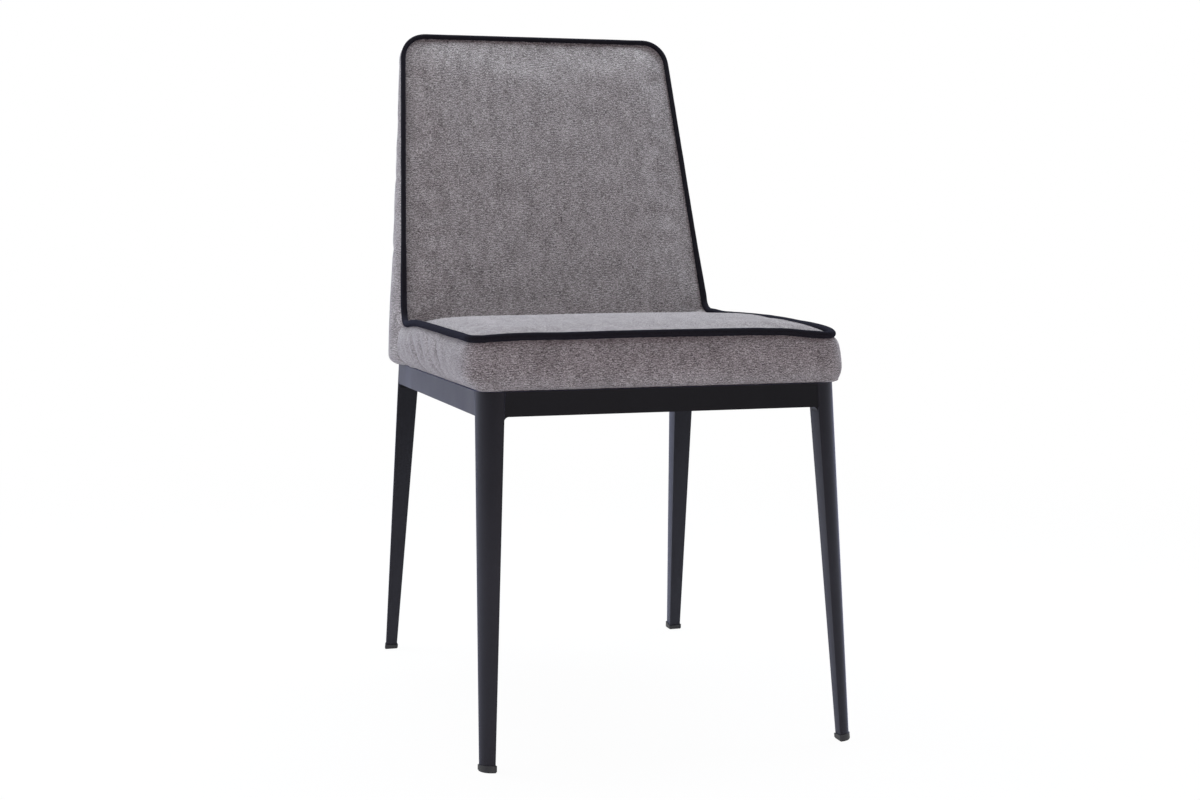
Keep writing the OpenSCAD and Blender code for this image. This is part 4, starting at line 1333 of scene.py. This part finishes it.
@dataclass
class Piping:
    """The continuous piping round the seat and the back: a cord in a bias-cut sleeve."""

    lines: ChairLines
    sides: int = 16
    sleeve_t: float = 0.0006        # the sleeve's slack round the seat
    drawn_thin: float = 0.0003      # the sleeve is drawn tight up the back
    waver: float = 0.00018          # unevenness of the sleeve
    smoothings: int = 2             # times the line is evened out
    seam_way: tuple[float, float, float] = (0, 1, -1.1)     # the first spokes are square to it

    def build(self, satin: bpy.types.Material) -> bpy.types.Object:
        """Builds and dresses the piping.

        Args:
            satin: the sleeve's material.

        Returns:
            The piping.
        """
        ln = self.lines
        line = ln.place(HandPull(ln).pull(ln.piping_line()))
        for _ in range(self.smoothings):
            line = (np.roll(line, 1, 0) + 2 * line + np.roll(line, -1, 0)) / 4
        tangents = np.roll(line, -1, 0) - np.roll(line, 1, 0)
        tangents /= np.linalg.norm(tangents, axis=1, keepdims=True)
        side = np.cross(tangents, self.seam_way)
        side /= np.linalg.norm(side, axis=1, keepdims=True)
        other = np.cross(tangents, side)
        angle = np.arange(self.sides) * 2 * math.pi / self.sides
        spokes = (np.cos(angle)[None, :, None] * side[:, None]
                  + np.sin(angle)[None, :, None] * other[:, None])
        up_back = beyond(line[:, 2], ln.nook_z, reach=0.1)
        radius = ln.piping_r + lerp(self.sleeve_t, -self.drawn_thin, up_back)
        points = (line[:, None] + radius[:, None, None] * spokes).reshape(-1, 3)
        points += spokes.reshape(-1, 3) * self.waver * noise_at(points, 0.018, 3.0)[:, None]
        grid = (len(line), self.sides)
        threads = np.stack([np.repeat(walked(line)[:, None], grid[1], axis=1),
                            np.repeat(angle[None, :] * ln.piping_r / MM, grid[0], axis=0),
                            np.zeros(grid)], axis=-1)
        obj = make_object("piping_loop", points, grid_faces(*grid, tube=True, loop=True),
                          threads.reshape(-1, 3))
        dress(obj, satin)
        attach(obj, "root")
        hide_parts("piping")
        return obj


# ------------------------------------------------------------------ steel frame
class Corner(Enum):
    """The four corners of the frame, by side and end."""

    FRONT_LEFT = (-1, -1)
    FRONT_RIGHT = (1, -1)
    REAR_LEFT = (-1, 1)
    REAR_RIGHT = (1, 1)

    def node(self, part: str) -> str:
        """Name of the CAD node of one part at this corner."""
        return f"{self.name.lower()}_{part}"


@dataclass
class SteelFrame:
    """Four tapered quarter-round legs with rolled edges, on the part's own rails."""

    lines: ChairLines
    leg_top_r: float = 0.029
    leg_foot_r: float = 0.016
    side_splay: float = 0.0085
    front_splay: float = 0.033
    rear_splay: float = 0.071
    leg_start: float = 0.003        # the tube's end above the foot of its inner edge
    leg_edge_r: float = 0.0016
    leg_cells: int = 23
    sharp_angle: float = math.radians(35)

    def leg_ends(self, corner: Corner) -> tuple[Array, Array]:
        """The two ends of a leg's inner edge.

        Args:
            corner: which leg.

        Returns:
            Local foot and head points.
        """
        ln = self.lines
        side, end = corner.value
        if end < 0:
            half, top_z = ln.frame_front_w / 2, ln.frame_front_h
            head_y, foot_y = self.leg_top_r, self.leg_foot_r - self.front_splay
        else:
            half, top_z = ln.frame_rear_w / 2, ln.frame_rear_h
            head_y = ln.frame_d - self.leg_top_r
            foot_y = ln.frame_d + self.rear_splay - self.leg_foot_r
        foot = (side * (half + self.side_splay - self.leg_foot_r), foot_y, 0)
        return np.array(foot), np.array((side * (half - self.leg_top_r), head_y, top_z))

    def section(self, r: float) -> Array:
        """A quarter-round section with rolled edges.

        Args:
            r: radius of the round side.

        Returns:
            Points round the section, the flats along its first and second axis.
        """
        e = self.leg_edge_r
        reach = math.sqrt((r - e) ** 2 - e ** 2)
        lean = math.asin(e / (r - e))
        return np.vstack([arc((e, e), e, math.pi, 3 * RIGHT_ANGLE, 5),
                          arc((reach, e), e, -RIGHT_ANGLE, lean, 5),
                          arc((0, 0), r, lean, RIGHT_ANGLE - lean, 24),
                          arc((e, reach), e, RIGHT_ANGLE - lean, math.pi, 5)])

    def rings(self, corner: Corner) -> tuple[Array, Array]:
        """A leg's section just above the foot of its inner edge, and above the frame's top.

        Args:
            corner: which leg.

        Returns:
            Local points of both sections.
        """
        foot, head = self.leg_ends(corner)
        length = float(np.linalg.norm(head - foot))
        x, y, z = (head - foot) / length
        back, aside = -math.asin(y), math.atan2(x, z)
        turn_x = np.array([[1, 0, 0], [0, math.cos(back), -math.sin(back)],
                           [0, math.sin(back), math.cos(back)]])
        turn_y = np.array([[math.cos(aside), 0, math.sin(aside)], [0, 1, 0],
                           [-math.sin(aside), 0, math.cos(aside)]])
        both = []
        for distance in (self.leg_start, length + self.leg_top_r):
            flat = self.section(lerp(self.leg_foot_r, self.leg_top_r, distance / length))
            upright = np.c_[flat * corner.value, np.full(len(flat), distance)]
            both.append(foot + upright @ (turn_y @ turn_x).T)
        return both[0], both[1]

    def leg(self, corner: Corner, coat: bpy.types.Material) -> bpy.types.Object:
        """Builds and dresses one leg.

        Args:
            corner: which leg.
            coat: its finish.

        Returns:
            The leg.
        """
        ln = self.lines
        starts, ends = self.rings(corner)
        slope = (ln.frame_front_h - ln.frame_rear_h) / ln.frame_d
        way = ends - starts
        top = ((ln.frame_front_h - slope * starts[:, 1] - starts[:, 2])
               / (way[:, 2] + slope * way[:, 1]))
        points = np.vstack([starts + way * (top * share)[:, None]
                            for share in np.linspace(0, 1, self.leg_cells + 1)])
        count = len(starts)
        faces = grid_faces(self.leg_cells + 1, count, tube=True)
        faces += [tuple(range(count))[::-1], tuple(range(len(points) - count, len(points)))]
        if math.prod(corner.value) < 0:
            faces = [face[::-1] for face in faces]
        name = corner.node("leg")
        obj = make_object(name + "_tube", ln.place(points), faces)
        obj.data.set_sharp_from_angle(angle=self.sharp_angle)
        dress(obj, coat)
        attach(obj, "root")
        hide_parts(name)
        return obj

    def build(self, coat: bpy.types.Material, leg_coat: bpy.types.Material) -> None:
        """Builds and dresses the legs and the rails.

        Args:
            coat: finish of the rails and plates.
            leg_coat: finish of the legs: the rails' coat painted paler as painted light, with
                painted floor light towards the feet.
        """
        for corner in Corner:
            log.info("%s built", self.leg(corner, leg_coat).name)
            dress_node(corner.node("plate"), coat)
        for name in ("front_rail", "rear_rail", "left_rail", "right_rail", "weld_fillets"):
            dress_node(name, coat)


# ------------------------------------------------------------------ studio
@dataclass(frozen=True)
class SoftLamp:
    """A rectangular soft lamp, aimed at the middle of the chair unless it says otherwise."""

    name: str
    place: tuple[float, float, float]
    size: tuple[float, float]
    watts: float
    colour: str
    target: tuple[float, float, float] = (0, 0, 0.5)

    def hang(self) -> None:
        """Adds the lamp to the scene."""
        data = bpy.data.lights.new(self.name, "AREA")
        data.shape = "RECTANGLE"
        data.size, data.size_y = self.size
        data.energy = self.watts
        data.color = linear(self.colour)[:3]
        lamp = bpy.data.objects.new(self.name, data)
        lamp.location = self.place
        aim = Vector(self.target) - Vector(self.place)
        lamp.rotation_euler = aim.to_track_quat("-Z", "Y").to_euler()
        bpy.context.scene.collection.objects.link(lamp)


@dataclass
class Studio:
    """A pale floor, soft lamps and the camera."""

    lines: ChairLines
    camera_at: tuple[float, float, float] = (-0.6698, -1.9472, 0.6185)      # local x, y and z
    yaw: float = 0.295              # radians to the right, and down
    pitch: float = 0.1016
    lens_mm: float = 54.3
    sensor_mm: float = 36
    world_light: float = 0.11
    world_tint: str = "#f4f5fa"
    floor_half: float = 14.0
    floor_tone: str = "#f6f6f6"
    bounce: float = 0.12            # light the floor gives back beyond what falls on it
    bounce_tint: str = "#f2f3ff"
    floor_glow: float = 0.96        # share of white on the floor under the chair
    fade: tuple[float, float] = (0.6, 2.5)      # where the floor starts to whiten, and is white
    lamps: tuple[SoftLamp, ...] = (
        SoftLamp("top_left_softbox", (-0.35, 0.45, 2.1), (1.4, 1.4), 30, "#f1fbff"),
        SoftLamp("top_right_softbox", (0.9, 0.3, 2.0), (1.2, 1.2), 28, "#e8f4ff"),
        SoftLamp("left_softbox", (-2.4, -0.2, 1.1), (1.4, 1.8), 9.5, "#fbeaf8"),
        SoftLamp("rear_left_softbox", (-2.0, 1.4, 1.2), (1.4, 1.8), 35, "#e6eeff"),
        SoftLamp("right_fill", (2.6, 0.4, 1.0), (1.4, 1.8), 4, "#ffffff"),
        SoftLamp("low_front_fill", (-0.2, -2.4, 0.2), (1.8, 0.4), 3.5, "#ffeef6", (0, 0, 0.4)),
        SoftLamp("front_fill", (0.2, -2.6, 1.3), (1.6, 0.8), 12, "#ffe8f3"))

    def camera(self) -> None:
        """Places the camera."""
        data = bpy.data.cameras.new("camera")
        data.lens = self.lens_mm
        data.sensor_width = self.sensor_mm
        camera = bpy.data.objects.new("camera", data)
        camera.location = self.lines.place(np.array(self.camera_at))
        camera.rotation_euler = (RIGHT_ANGLE - self.pitch, 0, -self.yaw)
        bpy.context.scene.collection.objects.link(camera)
        bpy.context.scene.camera = camera

    @staticmethod
    def seen_directly(owner: bpy.types.Material | bpy.types.World) -> Socket:
        """Tells rays from the camera, from gloss and through glass from the rest.

        Args:
            owner: the material or world that asks.

        Returns:
            1 for those rays and 0 for the rest.
        """
        path = add_node(owner, "ShaderNodeLightPath")
        either = add_node(owner, "ShaderNodeMath", {"operation": "MAXIMUM"},
                          {"0": path.outputs["Is Camera Ray"],
                           "1": path.outputs["Is Glossy Ray"]}).outputs[0]
        return add_node(owner, "ShaderNodeMath", {"operation": "MAXIMUM"},
                        {"0": either, "1": path.outputs["Is Transmission Ray"]}).outputs[0]

    def world(self) -> None:
        """A white backdrop that lights the object at a plain level."""
        world = bpy.data.worlds.new("studio")
        bpy.context.scene.world = world
        world.use_nodes = True
        world.node_tree.nodes.clear()
        shown = add_node(world, "ShaderNodeBackground", {"=Color": (1, 1, 1, 1), "=Strength": 1.0})
        lit = add_node(world, "ShaderNodeBackground",
                       {"=Color": linear(self.world_tint), "=Strength": self.world_light})
        mix = add_node(world, "ShaderNodeMixShader",
                       links={"0": self.seen_directly(world), "1": lit.outputs[0],
                              "2": shown.outputs[0]})
        add_node(world, "ShaderNodeOutputWorld", links={"Surface": mix.outputs[0]})

    def floor_paper(self) -> bpy.types.Material:
        """Matt studio paper that keeps a shadow and whitens away from the chair.

        Returns:
            The material.
        """
        material = bpy.data.materials.new("floor_paper")
        material.use_nodes = True
        material.node_tree.nodes.clear()
        paper = add_node(material, "ShaderNodeBsdfDiffuse", {"=Color": linear(self.floor_tone)})
        glow = add_node(material, "ShaderNodeEmission", {"=Color": (1, 1, 1, 1), "=Strength": 1.0})
        bounce = add_node(material, "ShaderNodeEmission",
                          {"=Color": linear(self.bounce_tint), "=Strength": self.bounce})
        pale = add_node(material, "ShaderNodeAddShader",
                        links={"0": paper.outputs[0], "1": bounce.outputs[0]})
        place = add_node(material, "ShaderNodeTexCoord").outputs["Object"]
        far = add_node(material, "ShaderNodeVectorMath", {"operation": "LENGTH"}, {"0": place})
        fade = add_node(material, "ShaderNodeMapRange",
                        {"interpolation_type": "SMOOTHSTEP", "=From Min": self.fade[0],
                         "=From Max": self.fade[1], "=To Min": self.floor_glow, "=To Max": 1.0},
                        {"Value": far.outputs["Value"]})
        share = add_node(material, "ShaderNodeMath", {"operation": "MULTIPLY"},
                         {"0": self.seen_directly(material), "1": fade.outputs["Result"]})
        mix = add_node(material, "ShaderNodeMixShader",
                       links={"0": share.outputs[0], "1": pale.outputs[0],
                              "2": glow.outputs[0]})
        add_node(material, "ShaderNodeOutputMaterial", links={"Surface": mix.outputs[0]})
        return material

    def floor(self) -> None:
        """A flat square floor under the chair."""
        corners = np.array([(-1, -1, 0), (1, -1, 0), (1, 1, 0), (-1, 1, 0)])
        obj = make_object("floor", self.floor_half * corners, [(0, 1, 2, 3)])
        dress(obj, self.floor_paper())

    def build(self) -> None:
        """Builds the stage."""
        self.camera()
        self.world()
        self.floor()
        for lamp in self.lamps:
            lamp.hang()
        bpy.context.scene.view_settings.view_transform = "Standard"


# ------------------------------------------------------------------ the whole chair
def dress_inner_parts() -> None:
    """Dresses the CAD nodes that keep their shape, apart from the frame's."""
    finishes = (
        (MouldedNylon(), [corner.node("glide") for corner in Corner]),
        (Timber(), ["left_back_stile", "right_back_stile", "back_top_rail",
                    "back_lumbar_rail", "back_bottom_rail"]),
        (Timber("rotary_cut_plywood", "#b98f5d", "#dcb988", (140, 9, 3)), ["seat_board"]),
        (SpunbondFelt(), ["seat_dust_cover"]),
        (WovenWebbing(), ["back_webbing"]),
        (ZincPlate(), ["left_back_bracket", "right_back_bracket", "bracket_screws",
                       "seat_bolts", "seat_washers", "tee_nuts"]))
    for finish, names in finishes:
        material = finish.build()
        for name in names:
            dress_node(name, material)
        log.info("%s: %s", material.name, ", ".join(names))


def main() -> None:
    """Builds the chair in order."""
    logging.basicConfig(level=logging.INFO, format="%(name)s: %(message)s")
    lines = ChairLines()
    Studio(lines).build()
    chenille = BrushedChenille().build()
    # the legs get the rails' coat painted paler as painted light, and painted floor light that
    # grows towards the feet
    leg_coat = PowderCoat("powder_coated_tube_black_painted_light", "#1e1e22", "#303035", sheen=0.5,
                          painted_floor_light=0.6)
    SteelFrame(lines).build(PowderCoat().build(), leg_coat.build())
    for obj in (SeatCushion(lines).build(chenille), BackCushion(lines).build(chenille),
                Piping(lines).build(SatinPiping().build())):
        log.info("%s: %d faces", obj.name, len(obj.data.polygons))
    dress_inner_parts()


if __name__ == "__main__":
    main()
